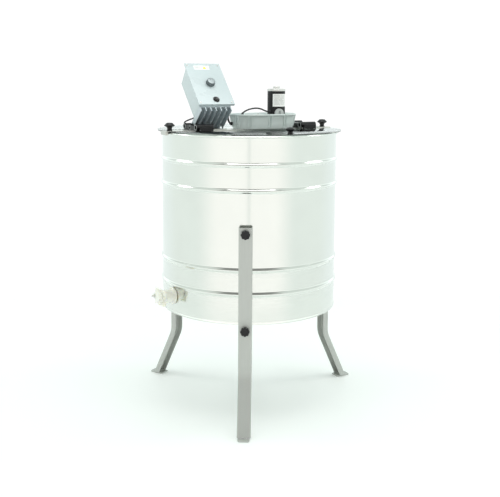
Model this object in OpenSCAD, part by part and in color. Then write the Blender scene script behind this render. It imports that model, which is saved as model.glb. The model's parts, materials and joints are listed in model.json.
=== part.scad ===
// Electric tangential honey extractor: a steel drum on three legs, a crossbar
// with hinged clear lids, a belt drive with its motor and a speed controller.
// Millimetres. The origin is on the floor under the drum's axis, +Z is up and
// +X runs along the crossbar, towards the motor's end.

/* [Drum] */
// Outer diameter of the drum's wall
drum_d = 630; // [600:5:660]
// Height of the drum's lower edge above the floor
drum_bottom_z = 354; // [345:1:360]
// Height of the top of the rolled rim above the floor
rim_top_z = 991; // [985:1:995]
// Thickness of the drum's sheet
sheet_t = 1.5; // [1.2:0.1:2]
// How far each stiffening bead stands out of the wall
bead_out = 5; // [3:0.5:6]
// Height of each stiffening bead
bead_h = 16; // [12:1:20]
// Diameter of the rolled rim
rim_d = 9; // [7:1:10]

/* [Legs] */
// Width of a leg's channel
leg_w = 46; // [40:1:50]
// Depth of a leg's channel
leg_depth = 22; // [18:1:26]
// Height of a leg's upper end
leg_top_z = 690; // [650:5:720]
// Height at which a leg bends outwards
leg_bend_z = 190; // [160:5:220]
// Radius of that bend
leg_bend_r = 90; // [60:5:120]
// Angle between a leg's lower part and the vertical
leg_splay = 25; // [15:1:30]
// Diameter of the circle through the three floor bolts
floor_bolt_pcd = 860; // [850:2:866]
// Diameter of each floor bolt's hole
floor_bolt_d = 9; // [8:0.5:11]

/* [Crossbar] */
// Length of the crossbar
bar_l = 676; // [670:2:690]
// Width of the crossbar between the hinges
bar_w = 84; // [80:1:86]
// Width of the crossbar's end tabs
tab_w = 44; // [40:1:50]
// Height of the crossbar's top face
bar_top_z = 996; // [995:1:998]

/* [Lids] */
// Outer radius of the two clear lids
lid_r = 332; // [326:1:336]
// Thickness of the clear sheet
lid_t = 4; // [3:0.5:4.5]

/* [Drive] */
// Distance between the drum's axis and the motor's axis
motor_x = 112; // [110:1:116]
// Outer diameter of the motor
motor_d = 65; // [60:1:68]
// Turns of the motor for one turn of the basket
belt_ratio = 5; // [4:0.5:6]

/* [Controller] */
// Width of the control panel
panel_w = 138; // [130:1:145]
// Length of the control panel along its slope
panel_l = 192; // [180:1:200]
// Angle of the control panel above the horizontal
panel_tilt = 47.5; // [45:0.5:50]

/* [Gate] */
// Height of the honey gate's axis above the floor
gate_z = 418; // [412:1:419]
// Direction of the honey gate around the drum
gate_angle = 185; // [180:1:200]
// Radius of the gate's outlet
gate_bore_r = 19; // [16:1:20]

/* [Hidden] */

$fn = 96;
drum_r = drum_d / 2;
drum_inner_r = drum_r - sheet_t;
bead_arc_r = (bead_h * bead_h / 4 + bead_out * bead_out) / (2 * bead_out);
bead_centre_r = drum_r + bead_out - bead_arc_r;
// Heights of the middles of the four beads
bead_zs = [457, 539.5, 807, 893];
rim_tube_r = rim_d / 2;
rim_tube_z = rim_top_z - rim_tube_r;
rim_centre_r = drum_r + rim_tube_r - sheet_t;

leg_out_r = drum_r + bead_out + 1 + leg_depth;
leg_in_r = leg_out_r - leg_depth;
leg_t = 3;
foot_t = 5;
foot_tip_r = 450;
foot_back_r = 392;
foot_w = 40;
floor_bolt_r = floor_bolt_pcd / 2;
leg_angles = [0, 120, 240];
upper_stud_z = 668;
lower_stud_z = 341;
stud_r = 5;

bar_t = 3;
bar_skirt = 19;
bar_bottom_z = bar_top_z - bar_skirt;
clamp_x = drum_r - 1;
clamp_bolt_r = 4;
notch_half = 9;
notch_z = 984;

lid_z = rim_top_z + 0.2;
lid_top_z = lid_z + lid_t;
lid_edge_y = bar_w / 2 + 3.4;
hinge_y = 47;
hinge_z = 1007.5;
barrel_r = 11;
hinge_pin_r = 4;
// Middles of the two hinges along the crossbar
hinge_xs = [-204, 217];
hinge_l = 66;
knuckle_l = 28;
// The stretch of the lids that is cut away round the drive
window_x = [-92, 188];
window_y = 101;
// Where the front lid's lifting knob stands; the rear lid's is its mirror image
lid_knob_xy = [0, -290];

shaft_r = 12.5;
housing_bottom_z = bar_top_z;
housing_top_z = 1050;
housing_low_r = 60;
housing_high_r = 66;
housing_lip_r = 73;
housing_wall = 3.5;
cover_z = 1041;
cover_t = 3;
big_pulley_r = 48;
small_pulley_r = big_pulley_r / belt_ratio;
belt_gap = 0.4;
belt_t = 3;
belt_z = [1013, 1025];
pulley_z = [1008, 1030];
pulley_flange = 4;
motor_r = motor_d / 2;
motor_z = cover_z + cover_t;
motor_top_z = 1131;
motor_cap_top_z = 1140;
motor_shaft_r = 4;

panel_x = -160;
panel_t = 4;
// Where the panel's lower edge stands
panel_edge = [-60, 1085];
box_w = 120;
box_x = -166;
box_d = 68;
box_l = 172;
box_t = 3;
knob_pos = [3, 96];
button_pos = [3, 22];

gate_face_r = drum_r + 1;
gate_seat_r = 362;
gate_seat_t = 7;
gate_blade_t = 5;
// Distance of the gate's two bolts from its axis
gate_pivot_z = 29.5;
gate_bolt_r = 3;

screen_a = 200;
screen_t = 6;
basket_in_a = 158;
basket_z = [440, 930];
basket_bar = 10;

// Routes of the cables, which hold whatever they are clipped to at both ends
cable_gland_xy = [-40, -20];
motor_cable_route = [
    [-40, -20, 1048.2], [-38, -20, 1053], [-30, -20, 1059], [-16, -20, 1065], [2, -20, 1069],
    [20, -19, 1070], [38, -18, 1067], [54, -16, 1061], [68, -13, 1057], [80, -9, 1056]
];
supply_cable_route = [
    [-105.8, -9, 1059], [-98, -8, 1057], [-91, -4, 1050], [-86, 2, 1041],
    [-82, 8, 1031], [-77, 12, 1022], [-71, 14, 1016], [-65, 15, 1014]
];
sensor_cable_route = [
    [-215, -3.5, 1044.4], [-217, 0, 1041], [-222, 5, 1037], [-231, 10, 1033], [-241, 13, 1029],
    [-249, 13, 1025], [-253, 9, 1022], [-250, 5, 1019], [-243, 2, 1018], [-235, 1, 1017],
    [-227, 1, 1015], [-221, 1, 1013]
];

// Points along an arc in the order from angle a to angle b
function arc(c, r, a, b, n) =
    [for (i = [0 : n]) c + r * [cos(a + (b - a) * i / n), sin(a + (b - a) * i / n)]];

// Points of the drum's outer or inner outline, bulged at each bead
function bead_line(r, bulge_r, up) =
    let (half = asin(min(1, sqrt(bulge_r * bulge_r - pow(r - bead_centre_r, 2)) / bulge_r)))
    [for (z = up ? bead_zs : [for (i = [3 : -1 : 0]) bead_zs[i]])
        each arc([bead_centre_r, z], bulge_r, up ? -half : half, up ? half : -half, 10)];

module rod_x(r, x0, x1) {
    translate([x0, 0, 0])
        rotate([0, 90, 0])
            cylinder(r = r, h = x1 - x0);
}

// Places its children at each of the three legs
module at_legs() {
    for (a = leg_angles)
        rotate([0, 0, a])
            children();
}

// Places its children at each end of the crossbar, mirrored
module at_bar_ends() {
    for (s = [0, 1])
        mirror([s, 0, 0])
            children();
}

// Lays its children in the control panel's own frame: x across, y up the
// slope from the lower edge and z out of the panel's face
module on_panel() {
    translate([panel_x, panel_edge[0], panel_edge[1]])
        rotate([panel_tilt, 0, 0])
            children();
}

// Lays its children at the gate: x outwards from the drum's axis and z level,
// away from the clamping bolt
module on_gate() {
    rotate([0, 0, gate_angle])
        translate([0, 0, gate_z])
            rotate([90, 0, 0])
                children();
}

// ---- Drum ----

module drum_wall() {
    color("lightsteelblue")
    difference() {
        union() {
            rotate_extrude()
                polygon(concat(
                    [[drum_inner_r, drum_bottom_z], [drum_r + 1, drum_bottom_z]],
                    [[drum_r + 1, drum_bottom_z + 6], [drum_r, drum_bottom_z + 7]],
                    bead_line(drum_r, bead_arc_r, true),
                    [[drum_r, rim_tube_z], [drum_inner_r, rim_tube_z]],
                    bead_line(drum_inner_r, bead_arc_r - sheet_t, false)
                ));
            rotate_extrude()
                translate([rim_centre_r, rim_tube_z])
                    circle(r = rim_tube_r, $fn = 32);
        }
        on_gate()
            rod_x(gate_bore_r + 4.2, drum_inner_r - 20, drum_r + 10);
        at_bar_ends()
            translate([drum_r - 20, -notch_half, notch_z])
                cube([40, 2 * notch_half, 40]);
    }
}

// Dished floor with a gutter round the edge and a raised middle
module drum_bottom() {
    floor_r = drum_inner_r - 0.1;
    gutter_z = 368;
    t = 2;
    color("lightsteelblue")
    rotate_extrude()
        polygon([
            [20, 402], [60, 402], [290, gutter_z + 4], [floor_r - 6, gutter_z],
            [floor_r, gutter_z + 6], [floor_r, gutter_z - t], [floor_r - 7, gutter_z - t],
            [289, gutter_z + 4 - t], [60, 402 - t], [20, 402 - t]
        ]);
}

// ---- Legs ----

// Side outline of a leg's channel between radii inner and outer, with the
// bend as an arc
function leg_outline(outer, inner, z_top, z_low) =
    let (bend_x = leg_out_r + leg_bend_r)
    let (bend_z = leg_bend_z + leg_bend_r * tan(leg_splay / 2))
    let (out_arc = arc([bend_x, bend_z], bend_x - outer, 180, 180 + leg_splay, 6))
    let (in_arc = arc([bend_x, bend_z], bend_x - inner, 180 + leg_splay, 180, 6))
    let (drop_out = out_arc[6][1] - z_low, drop_in = in_arc[0][1] - z_low)
    concat([[inner, z_top], [outer, z_top]], out_arc,
        [[out_arc[6][0] + drop_out * tan(leg_splay), z_low],
         [in_arc[0][0] + drop_in * tan(leg_splay), z_low]], in_arc);

module leg(angle) {
    color("darkgray")
    rotate([0, 0, angle])
        difference() {
            rotate([90, 0, 0])
                linear_extrude(leg_w, center = true)
                    polygon(leg_outline(leg_out_r, leg_in_r, leg_top_z, foot_t));
            rotate([90, 0, 0])
                linear_extrude(leg_w - 2 * leg_t, center = true)
                    polygon(leg_outline(leg_out_r - leg_t, leg_in_r - 5, leg_top_z + 1, foot_t - 1));
            for (z = [upper_stud_z, lower_stud_z])
                translate([0, 0, z])
                    rod_x(stud_r + 0.4, leg_in_r, leg_out_r + 5);
        }
}

module leg_right() {
    leg(leg_angles[0]);
}

module leg_rear() {
    leg(leg_angles[1]);
}

module leg_front() {
    leg(leg_angles[2]);
}

module foot_plates() {
    color("darkgray")
    at_legs()
        difference() {
            union() {
                translate([foot_back_r, -foot_w / 2, 0])
                    cube([foot_tip_r - 8 - foot_back_r, foot_w, foot_t]);
                translate([foot_tip_r - 9, -foot_w / 2 + 8, 0])
                    cube([9, foot_w - 16, foot_t]);
                for (s = [-1, 1])
                    translate([foot_tip_r - 8, s * (foot_w / 2 - 8), 0])
                        cylinder(r = 8, h = foot_t);
            }
            translate([floor_bolt_r, 0, -1])
                cylinder(d = floor_bolt_d, h = foot_t + 2);
        }
}

// Angle plates under the drum's edge, one inside each leg
module leg_brackets() {
    plate_r = leg_in_r - 0.5;
    plate_t = 5;
    arm_top = drum_bottom_z - 0.1;
    color("darkgray")
    at_legs()
        difference() {
            union() {
                translate([plate_r - plate_t, -19, 324])
                    cube([plate_t, 38, arm_top - 324]);
                translate([plate_r - 42, -19, arm_top - 5])
                    cube([42, 38, 5]);
            }
            translate([0, 0, lower_stud_z])
                rod_x(stud_r + 0.05, plate_r - 10, plate_r + 5);
        }
}

// Threaded studs that the legs hang on
module leg_studs() {
    color("silver")
    at_legs() {
        translate([0, 0, upper_stud_z]) {
            rod_x(stud_r, drum_r + 0.3, leg_out_r + 10);
            rod_x(11, drum_r + 0.3, drum_r + 4);
        }
        translate([0, 0, lower_stud_z]) {
            rod_x(stud_r, leg_in_r - 9, leg_out_r + 10);
            rod_x(7.5, leg_in_r - 11.5, leg_in_r - 5.6);
        }
    }
}

// Eight-lobed star knobs that clamp the legs
module leg_knobs() {
    lobes = 8;
    color("#1c1d1f")
    at_legs()
        for (z = [upper_stud_z, lower_stud_z])
            translate([leg_out_r + 0.2, 0, z])
                rotate([0, 90, 0])
                    difference() {
                        union() {
                            cylinder(r = 9.5, h = 5);
                            translate([0, 0, 4])
                                cylinder(r = 13.5, h = 13);
                            for (i = [0 : lobes - 1])
                                rotate([0, 0, i * 360 / lobes])
                                    translate([12, 0, 4.5])
                                        cylinder(r = 4, h = 12, $fn = 32);
                        }
                        translate([0, 0, -1])
                            cylinder(r = stud_r + 0.05, h = 12);
                    }
}

// ---- Crossbar and clamps ----

// Plan outline of the crossbar, inset all round by e
function bar_outline(e) =
    let (l = bar_l / 2 - e, w = bar_w / 2 - e, t = tab_w / 2 - e)
    [[-l, -t], [-300, -t], [-270, -w], [270, -w], [300, -t], [l, -t],
     [l, t], [300, t], [270, w], [-270, w], [-300, t], [-l, t]];

module crossbar() {
    notch_w = 20;
    ledge_t = 2;
    color("gainsboro") {
        for (x = [-70, 150])
            for (s = [0, 1])
                mirror([0, s, 0])
                    translate([x, bar_w / 2 - 0.5, lid_z - ledge_t - 0.1])
                        cube([24, 20, ledge_t]);
        crossbar_channel(notch_w);
    }
}

// Folded channel with its skirt cut away over the rim
module crossbar_channel(notch_w) {
    tab_skirt_z = 982;
    difference() {
        translate([0, 0, bar_bottom_z])
            linear_extrude(bar_skirt)
                polygon(bar_outline(0));
        translate([0, 0, bar_bottom_z - 1])
            linear_extrude(bar_skirt - bar_t + 1)
                polygon(bar_outline(bar_t));
        at_bar_ends() {
            translate([rim_centre_r - notch_w / 2, -bar_w, bar_bottom_z - 1])
                cube([notch_w, 2 * bar_w, bar_skirt - bar_t + 1]);
            translate([286, -bar_w, bar_bottom_z - 1])
                cube([bar_l, 2 * bar_w, tab_skirt_z - bar_bottom_z + 1]);
            translate([clamp_x, 0, 0])
                cylinder(r = clamp_bolt_r + 0.5, h = 1100);
        }
        translate([0, 0, bar_bottom_z])
            cylinder(r = 31, h = bar_skirt + 5);
    }
}

// Rubber strips between the rim and the crossbar
module crossbar_pads() {
    color("#202020")
    at_bar_ends()
        for (s = [-1, 1])
            translate([rim_centre_r - 8, s * 14 - 4.5, rim_top_z + 0.1])
                cube([16, 9, bar_top_z - bar_t - rim_top_z - 0.2]);
}

// Moulded blocks inside the wall, each with a tongue through the rim's notch
// that takes the clamp bolt
module clamp_blocks() {
    block_x = 303;
    block_low_z = 955;
    tongue_h = 8;
    color("#1c1d1f")
    at_bar_ends()
        difference() {
            union() {
                translate([block_x, -notch_half + 0.3, notch_z + 0.3])
                    cube([326 - block_x, 2 * notch_half - 0.6, tongue_h]);
                translate([block_x, -14, block_low_z])
                    cube([drum_inner_r - 0.8 - block_x, 28, rim_top_z - 0.2 - block_low_z]);
            }
            translate([clamp_x, 0, notch_z - 2])
                cylinder(r = clamp_bolt_r + 0.05, h = 20);
        }
}

module clamp_bolts() {
    color("silver")
    at_bar_ends()
        translate([clamp_x, 0, notch_z + 0.6])
            cylinder(r = clamp_bolt_r, h = 1009 - notch_z - 0.6);
}

// Mushroom knobs on top of the crossbar's tabs
module clamp_knobs() {
    cap_r = 18.5;
    color("#1c1d1f")
    at_bar_ends()
        translate([clamp_x, 0, bar_top_z])
            difference() {
                rotate_extrude()
                    polygon(concat(
                        [[0, 0], [9.5, 0], [9.5, 11], [13, 14], [cap_r - 1, 16.5]],
                        arc([cap_r - 3, 19.5], 3, -40, 60, 5),
                        [[9, 27], [0, 28.5]]
                    ));
                translate([0, 0, -1])
                    cylinder(r = clamp_bolt_r + 0.05, h = 16);
            }
}

// ---- Hinges and lids ----

// Twin-barrel blocks that straddle the crossbar
module hinge_blocks() {
    saddle_y = hinge_y - barrel_r - 0.7;
    end_l = (hinge_l - knuckle_l) / 2 - 0.3;
    block_h = 17;
    hollow_l = 10;
    hollow_r = 7;
    core_r = 5.5;
    screw_xy = [14, 18];
    screw_head_r = 5;
    color("#1c1d1f")
    for (x = hinge_xs)
        difference() {
            union() {
                translate([x - hinge_l / 2, -saddle_y, bar_top_z])
                    cube([hinge_l, 2 * saddle_y, block_h]);
                for (s = [-1, 1])
                    for (e = [x - hinge_l / 2, x + hinge_l / 2 - end_l])
                        translate([0, s * hinge_y, 0]) {
                            translate([0, 0, hinge_z])
                                rod_x(barrel_r, e, e + end_l);
                            translate([e, s > 0 ? -12 : 0, bar_top_z + 0.1])
                                cube([end_l, 12, block_h - 1]);
                        }
            }
            for (s = [-1, 1])
                translate([0, s * hinge_y, hinge_z]) {
                    rod_x(hinge_pin_r + 0.03, x - hinge_l, x + hinge_l);
                    rod_x(hollow_r, x - hinge_l / 2 - 1, x - hinge_l / 2 + hollow_l);
                    rod_x(hollow_r, x + hinge_l / 2 - hollow_l, x + hinge_l / 2 + 1);
                }
            translate([0, 0, bar_top_z + block_h / 2])
                rod_x(core_r, x - hinge_l, x + hinge_l);
            for (sx = [-1, 1])
                for (sy = [-1, 1])
                    translate([x + sx * screw_xy[0], sy * screw_xy[1], bar_top_z + block_h - 4])
                        cylinder(r = screw_head_r, h = 10);
        }
}

module hinge_pins() {
    color("silver")
    for (x = hinge_xs)
        for (s = [-1, 1])
            translate([0, s * hinge_y, hinge_z])
                rod_x(hinge_pin_r, x - hinge_l / 2 + 10.5, x + hinge_l / 2 - 10.5);
}

// One clear half lid on the -Y side
module half_lid() {
    clear = 2;
    difference() {
        intersection() {
            translate([0, 0, lid_z])
                cylinder(r = lid_r, h = lid_t, $fn = 180);
            translate([-lid_r - 1, -lid_r - 1, lid_z - 1])
                cube([2 * lid_r + 2, lid_r + 1 - lid_edge_y, lid_t + 2]);
        }
        translate([window_x[0] - clear, -window_y - clear, lid_z - 1])
            cube([window_x[1] - window_x[0] + 2 * clear, window_y, lid_t + 2]);
        translate([lid_knob_xy[0], lid_knob_xy[1], lid_z - 1])
            cylinder(r = 3.1, h = lid_t + 2);
    }
}

// The two moulded leaves of one lid, on the -Y side
module half_lid_leaves() {
    leaf_t = 13;
    leaf_w = 50;
    leaf_d = 23.5;
    screw_x = 19;
    screw_d = 18.2;
    screw_head_r = 3.4;
    color("#1c1d1f")
    for (x = hinge_xs)
        difference() {
            union() {
                translate([0, -hinge_y, hinge_z])
                    rod_x(barrel_r, x - knuckle_l / 2, x + knuckle_l / 2);
                translate([x - knuckle_l / 2, -hinge_y - leaf_d, lid_top_z + 0.05])
                    cube([knuckle_l, leaf_d, leaf_t]);
                translate([x - leaf_w / 2, -hinge_y - leaf_d, lid_top_z + 0.05])
                    cube([leaf_w, leaf_d - barrel_r - 2, leaf_t]);
            }
            translate([0, -hinge_y, hinge_z])
                rod_x(hinge_pin_r + 0.06, x - hinge_l, x + hinge_l);
            for (sx = [-1, 1])
                translate([x + sx * screw_x, -hinge_y - screw_d, lid_top_z + leaf_t - 4])
                    cylinder(r = screw_head_r, h = 8);
        }
}

// A small black lifting knob on a lid
module half_lid_knob() {
    color("#1c1d1f")
    translate([lid_knob_xy[0], lid_knob_xy[1], 0]) {
        translate([0, 0, lid_top_z + 0.05])
            rotate_extrude()
                polygon(concat(
                    [[0, 0], [10, 0], [10, 10], [15, 13]],
                    arc([13, 16], 3, -20, 60, 4),
                    [[8, 21], [0, 22]]
                ));
        translate([0, 0, lid_z - 4])
            cylinder(r = 3, h = lid_t + 5);
        translate([0, 0, lid_z - 5])
            cylinder(r = 7, h = 4.9);
    }
}

module front_lid() {
    color("lightcyan", 0.4)
        half_lid();
}

module front_lid_leaves() {
    half_lid_leaves();
}

module front_lid_knob() {
    half_lid_knob();
}

module rear_lid() {
    color("lightcyan", 0.4)
    mirror([0, 1, 0])
        half_lid();
}

module rear_lid_leaves() {
    mirror([0, 1, 0])
        half_lid_leaves();
}

module rear_lid_knob() {
    mirror([0, 1, 0])
        half_lid_knob();
}

// Fixed clear strips that close the lids' cut-outs beside the crossbar
module lid_fillers() {
    color("lightcyan", 0.4)
    for (s = [0, 1])
        mirror([0, s, 0])
            translate([window_x[0], -window_y, lid_z])
                cube([window_x[1] - window_x[0], window_y - bar_w / 2 - 0.3, lid_t]);
}

// ---- Bearings and basket ----

module top_bearing() {
    color("silver")
    difference() {
        union() {
            translate([0, 0, 968])
                cylinder(r = 30.5, h = bar_top_z - 968 - 0.2);
            translate([0, 0, bar_top_z - bar_t - 6])
                cylinder(r = 38.5, h = 5.8);
        }
        translate([0, 0, 960])
            cylinder(r = shaft_r + 0.05, h = 50);
    }
}

// Cup under the shaft's foot, standing on the drum's floor
module bottom_bearing() {
    color("silver")
    difference() {
        union() {
            translate([0, 0, 402.1])
                cylinder(r = 38, h = 4);
            translate([0, 0, 405])
                cylinder(r = 20, h = 15);
            translate([0, 0, 394])
                cylinder(r = 19.5, h = 12);
        }
        translate([0, 0, 403])
            cylinder(r = shaft_r + 0.05, h = 30);
    }
}

module basket_shaft() {
    color("silver")
    translate([0, 0, 403.3])
        cylinder(r = shaft_r, h = 1035 - 403.3);
}

module square_ring(a_in, a_out, z, h) {
    translate([0, 0, z])
        difference() {
            translate([-a_out, -a_out, 0])
                cube([2 * a_out, 2 * a_out, h]);
            translate([-a_in, -a_in, -1])
                cube([2 * a_in, 2 * a_in, h + 2]);
        }
}

// Square frame with diagonal arms and a hub, at height z
module basket_frame(z) {
    reach = sqrt(2) * (screen_a + basket_bar / 2);
    color("gainsboro")
    difference() {
        union() {
            square_ring(screen_a, screen_a + basket_bar, z, basket_bar);
            square_ring(basket_in_a - 8, basket_in_a, z, basket_bar);
            for (a = [45, -45])
                rotate([0, 0, a])
                    translate([-reach, -5, z])
                        cube([2 * reach, 10, basket_bar]);
            translate([0, 0, z - 10])
                cylinder(r = 24, h = basket_bar + 20);
        }
        translate([0, 0, z - 20])
            cylinder(r = shaft_r + 0.05, h = 50);
    }
}

module basket_bottom_frame() {
    basket_frame(basket_z[0]);
}

module basket_top_frame() {
    basket_frame(basket_z[1]);
}

module basket_posts() {
    low = basket_z[0] + basket_bar + 0.1;
    tall = basket_z[1] - low - 0.1;
    color("gainsboro")
    for (a = [screen_a, basket_in_a - 8])
        for (sx = [-1, 1])
            for (sy = [-1, 1])
                translate([sx * (a + 5) - 4, sy * (a + 5) - 4, low])
                    cube([8, 8, tall]);
}

// Wire screen that a comb leans on, on the side at angle
module screen(angle) {
    w = 2 * screen_a - 6;
    low = basket_z[0] + basket_bar + 0.1;
    tall = basket_z[1] - low - 0.1;
    wires_up = 7;
    wires_across = 9;
    color("silver")
    rotate([0, 0, angle])
        translate([screen_a + 2, -w / 2, low]) {
            difference() {
                cube([screen_t, w, tall]);
                translate([-1, 8, 8])
                    cube([screen_t + 2, w - 16, tall - 16]);
            }
            for (i = [1 : wires_up])
                translate([2, i * w / (wires_up + 1) - 1, 4])
                    cube([2, 2, tall - 8]);
            for (i = [1 : wires_across])
                translate([2, 4, i * tall / (wires_across + 1) - 1])
                    cube([2, w - 8, 2]);
        }
}

module screen_right() {
    screen(0);
}

module screen_rear() {
    screen(90);
}

module screen_left() {
    screen(180);
}

module screen_front() {
    screen(270);
}

// ---- Belt drive ----

// A flanged belt pulley with a bore
module pulley(groove_r, flange_r, bore_r) {
    difference() {
        union() {
            translate([0, 0, pulley_z[0]])
                cylinder(r = flange_r, h = pulley_flange);
            translate([0, 0, pulley_z[0] + 1])
                cylinder(r = groove_r, h = pulley_z[1] - pulley_z[0] - 2);
            translate([0, 0, pulley_z[1] - pulley_flange])
                cylinder(r = flange_r, h = pulley_flange);
        }
        translate([0, 0, pulley_z[0] - 1])
            cylinder(r = bore_r, h = pulley_z[1] - pulley_z[0] + 2);
    }
}

module large_pulley() {
    color("silver")
        pulley(big_pulley_r, big_pulley_r + pulley_flange, shaft_r + 0.05);
}

module motor_pulley() {
    color("silver")
    translate([motor_x, 0, 0])
        pulley(small_pulley_r, small_pulley_r + pulley_flange, motor_shaft_r + 0.05);
}

// Plan outline of a loop that wraps both pulleys, e outside their grooves
module belt_outline(e) {
    hull() {
        circle(r = big_pulley_r + e);
        translate([motor_x, 0])
            circle(r = small_pulley_r + e, $fn = 48);
    }
}

module drive_belt() {
    color("#202020")
    translate([0, 0, belt_z[0]])
        linear_extrude(belt_z[1] - belt_z[0])
            difference() {
                belt_outline(belt_gap + belt_t);
                belt_outline(belt_gap);
            }
}

// Drafted solid round both axes, from radius r0 at z0 to r1 at z1
module housing_solid(r0, r1, z0, z1) {
    hull()
        for (x = [0, motor_x])
            translate([x, 0, z0])
                cylinder(r1 = r0, r2 = r1, h = z1 - z0, $fn = 72);
}

module housing_plate(r, z, h) {
    for (x = [0, motor_x])
        translate([x, 0, z])
            cylinder(r = r, h = h);
    translate([0, -r, z])
        cube([motor_x, 2 * r, h]);
}

// Cast tray with a flared lip that holds the belt and both pulleys
module drive_housing() {
    lip_h = 5;
    floor_t = 4;
    color("lightslategray")
    difference() {
        union() {
            housing_solid(housing_low_r, housing_high_r, housing_bottom_z + 0.1, housing_top_z - 1);
            housing_solid(housing_high_r, housing_lip_r,
                          housing_top_z - lip_h - 4, housing_top_z - lip_h);
            housing_plate(housing_lip_r, housing_top_z - lip_h, lip_h);
        }
        housing_solid(housing_low_r - housing_wall, housing_high_r - housing_wall,
                      housing_bottom_z + floor_t, housing_top_z);
        housing_plate(housing_lip_r - 4, housing_top_z - 3, 5);
        translate([0, 0, housing_bottom_z - 1])
            cylinder(r = shaft_r + 2, h = 10);
    }
}

module housing_cover() {
    cover_r = housing_high_r - housing_wall - 1.4;
    color("slategray")
    difference() {
        union() {
            housing_plate(cover_r, cover_z, cover_t);
            translate([cable_gland_xy[0], cable_gland_xy[1], cover_z])
                cylinder(r = 6, h = cover_t + 4);
        }
        translate([motor_x, 0, cover_z - 1])
            cylinder(r = 16, h = cover_t + 2);
    }
}

// Pan-head screws of the housing's cover and of the control panel
module cover_screws() {
    color("silver") {
        for (x = [-30, 60])
            for (s = [-1, 1])
                translate([x, s * 46, cover_z + cover_t + 0.05])
                    cylinder(r = 4.5, h = 2.5);
        on_panel()
            for (sx = [-1, 1])
                for (y = [9, panel_l - 9])
                    translate([sx * (panel_w / 2 - 9), y, panel_t + 0.05])
                        cylinder(r = 3.6, h = 1.8);
    }
}

// ---- Motor ----

module motor_can() {
    color("#1c1d1f")
    translate([motor_x, 0, motor_z + 0.1])
        difference() {
            cylinder(r = motor_r, h = motor_top_z - motor_z - 0.2);
            translate([0, 0, 5])
                cylinder(r = motor_r - 3, h = 200);
            translate([0, 0, -1])
                cylinder(r = 9, h = 10);
        }
}

module motor_end_cap() {
    color("gainsboro")
    translate([motor_x, 0, motor_top_z])
        difference() {
            union() {
                cylinder(r = motor_r + 0.8, h = motor_cap_top_z - motor_top_z - 1);
                cylinder(r = motor_r - 0.5, h = motor_cap_top_z - motor_top_z);
                cylinder(r = 13, h = motor_cap_top_z - motor_top_z + 8);
                cylinder(r = 11.5, h = motor_cap_top_z - motor_top_z + 9);
            }
            translate([0, 0, -1])
                cylinder(r = 9, h = 8);
        }
}

module motor_shaft() {
    color("silver")
    translate([motor_x, 0, pulley_z[0] - 2])
        cylinder(r = motor_shaft_r, h = motor_top_z + 4 - pulley_z[0] + 2);
}

module motor_armature() {
    color("#8a5a2b")
    translate([motor_x, 0, 1056])
        difference() {
            cylinder(r = 24, h = 66);
            translate([0, 0, -1])
                cylinder(r = motor_shaft_r + 0.05, h = 70);
        }
}

// Arched cover over the motor's terminals, at its foot
module motor_terminal_cover() {
    color("whitesmoke")
    translate([motor_x, 0, 0])
        rotate([0, 0, -102])
            difference() {
                union() {
                    translate([motor_r - 4, -15, motor_z + 0.2])
                        cube([14, 30, 9]);
                    translate([motor_r - 4, 0, motor_z + 9])
                        rod_x(15, 0, 14);
                }
                translate([0, 0, 1000])
                    cylinder(r = motor_r + 0.2, h = 100);
                translate([motor_r - 5, -30, motor_z - 20])
                    cube([20, 60, 20.2]);
                translate([motor_r + 3, -3, motor_z + 1])
                    cube([20, 6, 14]);
            }
}

// ---- Cables ----

function unit(v) = v / norm(v);

// Direction of a route at point i
function heading(p, i) =
    unit(p[min(i + 1, len(p) - 1)] - p[max(i - 1, 0)]);

// Tube of radius r swept along the route p with flat ends
module cable(p, r) {
    sides = 10;
    n = len(p);
    up = [0.1, 0.95, 0.3];
    points = [for (i = [0 : n - 1])
        let (t = heading(p, i), u = unit(cross(t, up)), v = cross(t, u))
        for (k = [0 : sides - 1])
            p[i] + r * (cos(360 * k / sides) * u + sin(360 * k / sides) * v)];
    sleeves = [for (i = [0 : n - 2])
        for (k = [0 : sides - 1])
            let (a = i * sides + k, b = i * sides + (k + 1) % sides)
            [a, a + sides, b + sides, b]];
    caps = [[for (k = [0 : sides - 1]) k],
            [for (k = [sides - 1 : -1 : 0]) (n - 1) * sides + k]];
    polyhedron(points, concat(sleeves, caps), convexity = 4);
}

module motor_cable() {
    color("#18191b")
        cable(motor_cable_route, 2.8);
}

module control_cables() {
    color("#18191b") {
        cable(supply_cable_route, 3.5);
        cable(sensor_cable_route, 2.5);
    }
}

// ---- Controller ----

// Side outline of the controller's box in the panel's frame, inset by e
function box_outline(e) =
    [[e, -0.2], [box_l + 2 - e, -0.2], [box_l - 13 - e, -box_d + e], [e, -box_d + e]];

module controller_box() {
    color("#c9d2d8")
    on_panel()
        translate([box_x - panel_x, 0, 0])
            rotate([90, 0, 90])
                difference() {
                    linear_extrude(box_w, center = true)
                        polygon(box_outline(0));
                    translate([0, 0.1, 0])
                        linear_extrude(box_w - 2 * box_t, center = true)
                            polygon(concat([[box_t, 1], [box_l - 1, 1]],
                                [[box_l - 16, -box_d + box_t], [box_t, -box_d + box_t]]));
                }
}

module control_panel() {
    color("#d5dde2")
    on_panel()
        difference() {
            union() {
                translate([-panel_w / 2, 0, 0])
                    cube([panel_w, panel_l, panel_t]);
                translate([-panel_w / 2, 0, -6])
                    cube([panel_w, 3, 6.5]);
            }
            translate([box_x - panel_x - box_w / 2 - 0.3, -0.1, -8])
                cube([box_w + 0.6, 4, 8]);
            translate([knob_pos[0], knob_pos[1], -1])
                cylinder(r = 4.2, h = panel_t + 2);
            translate([button_pos[0], button_pos[1], -1])
                cylinder(r = 9.6, h = panel_t + 2);
        }
}

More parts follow.
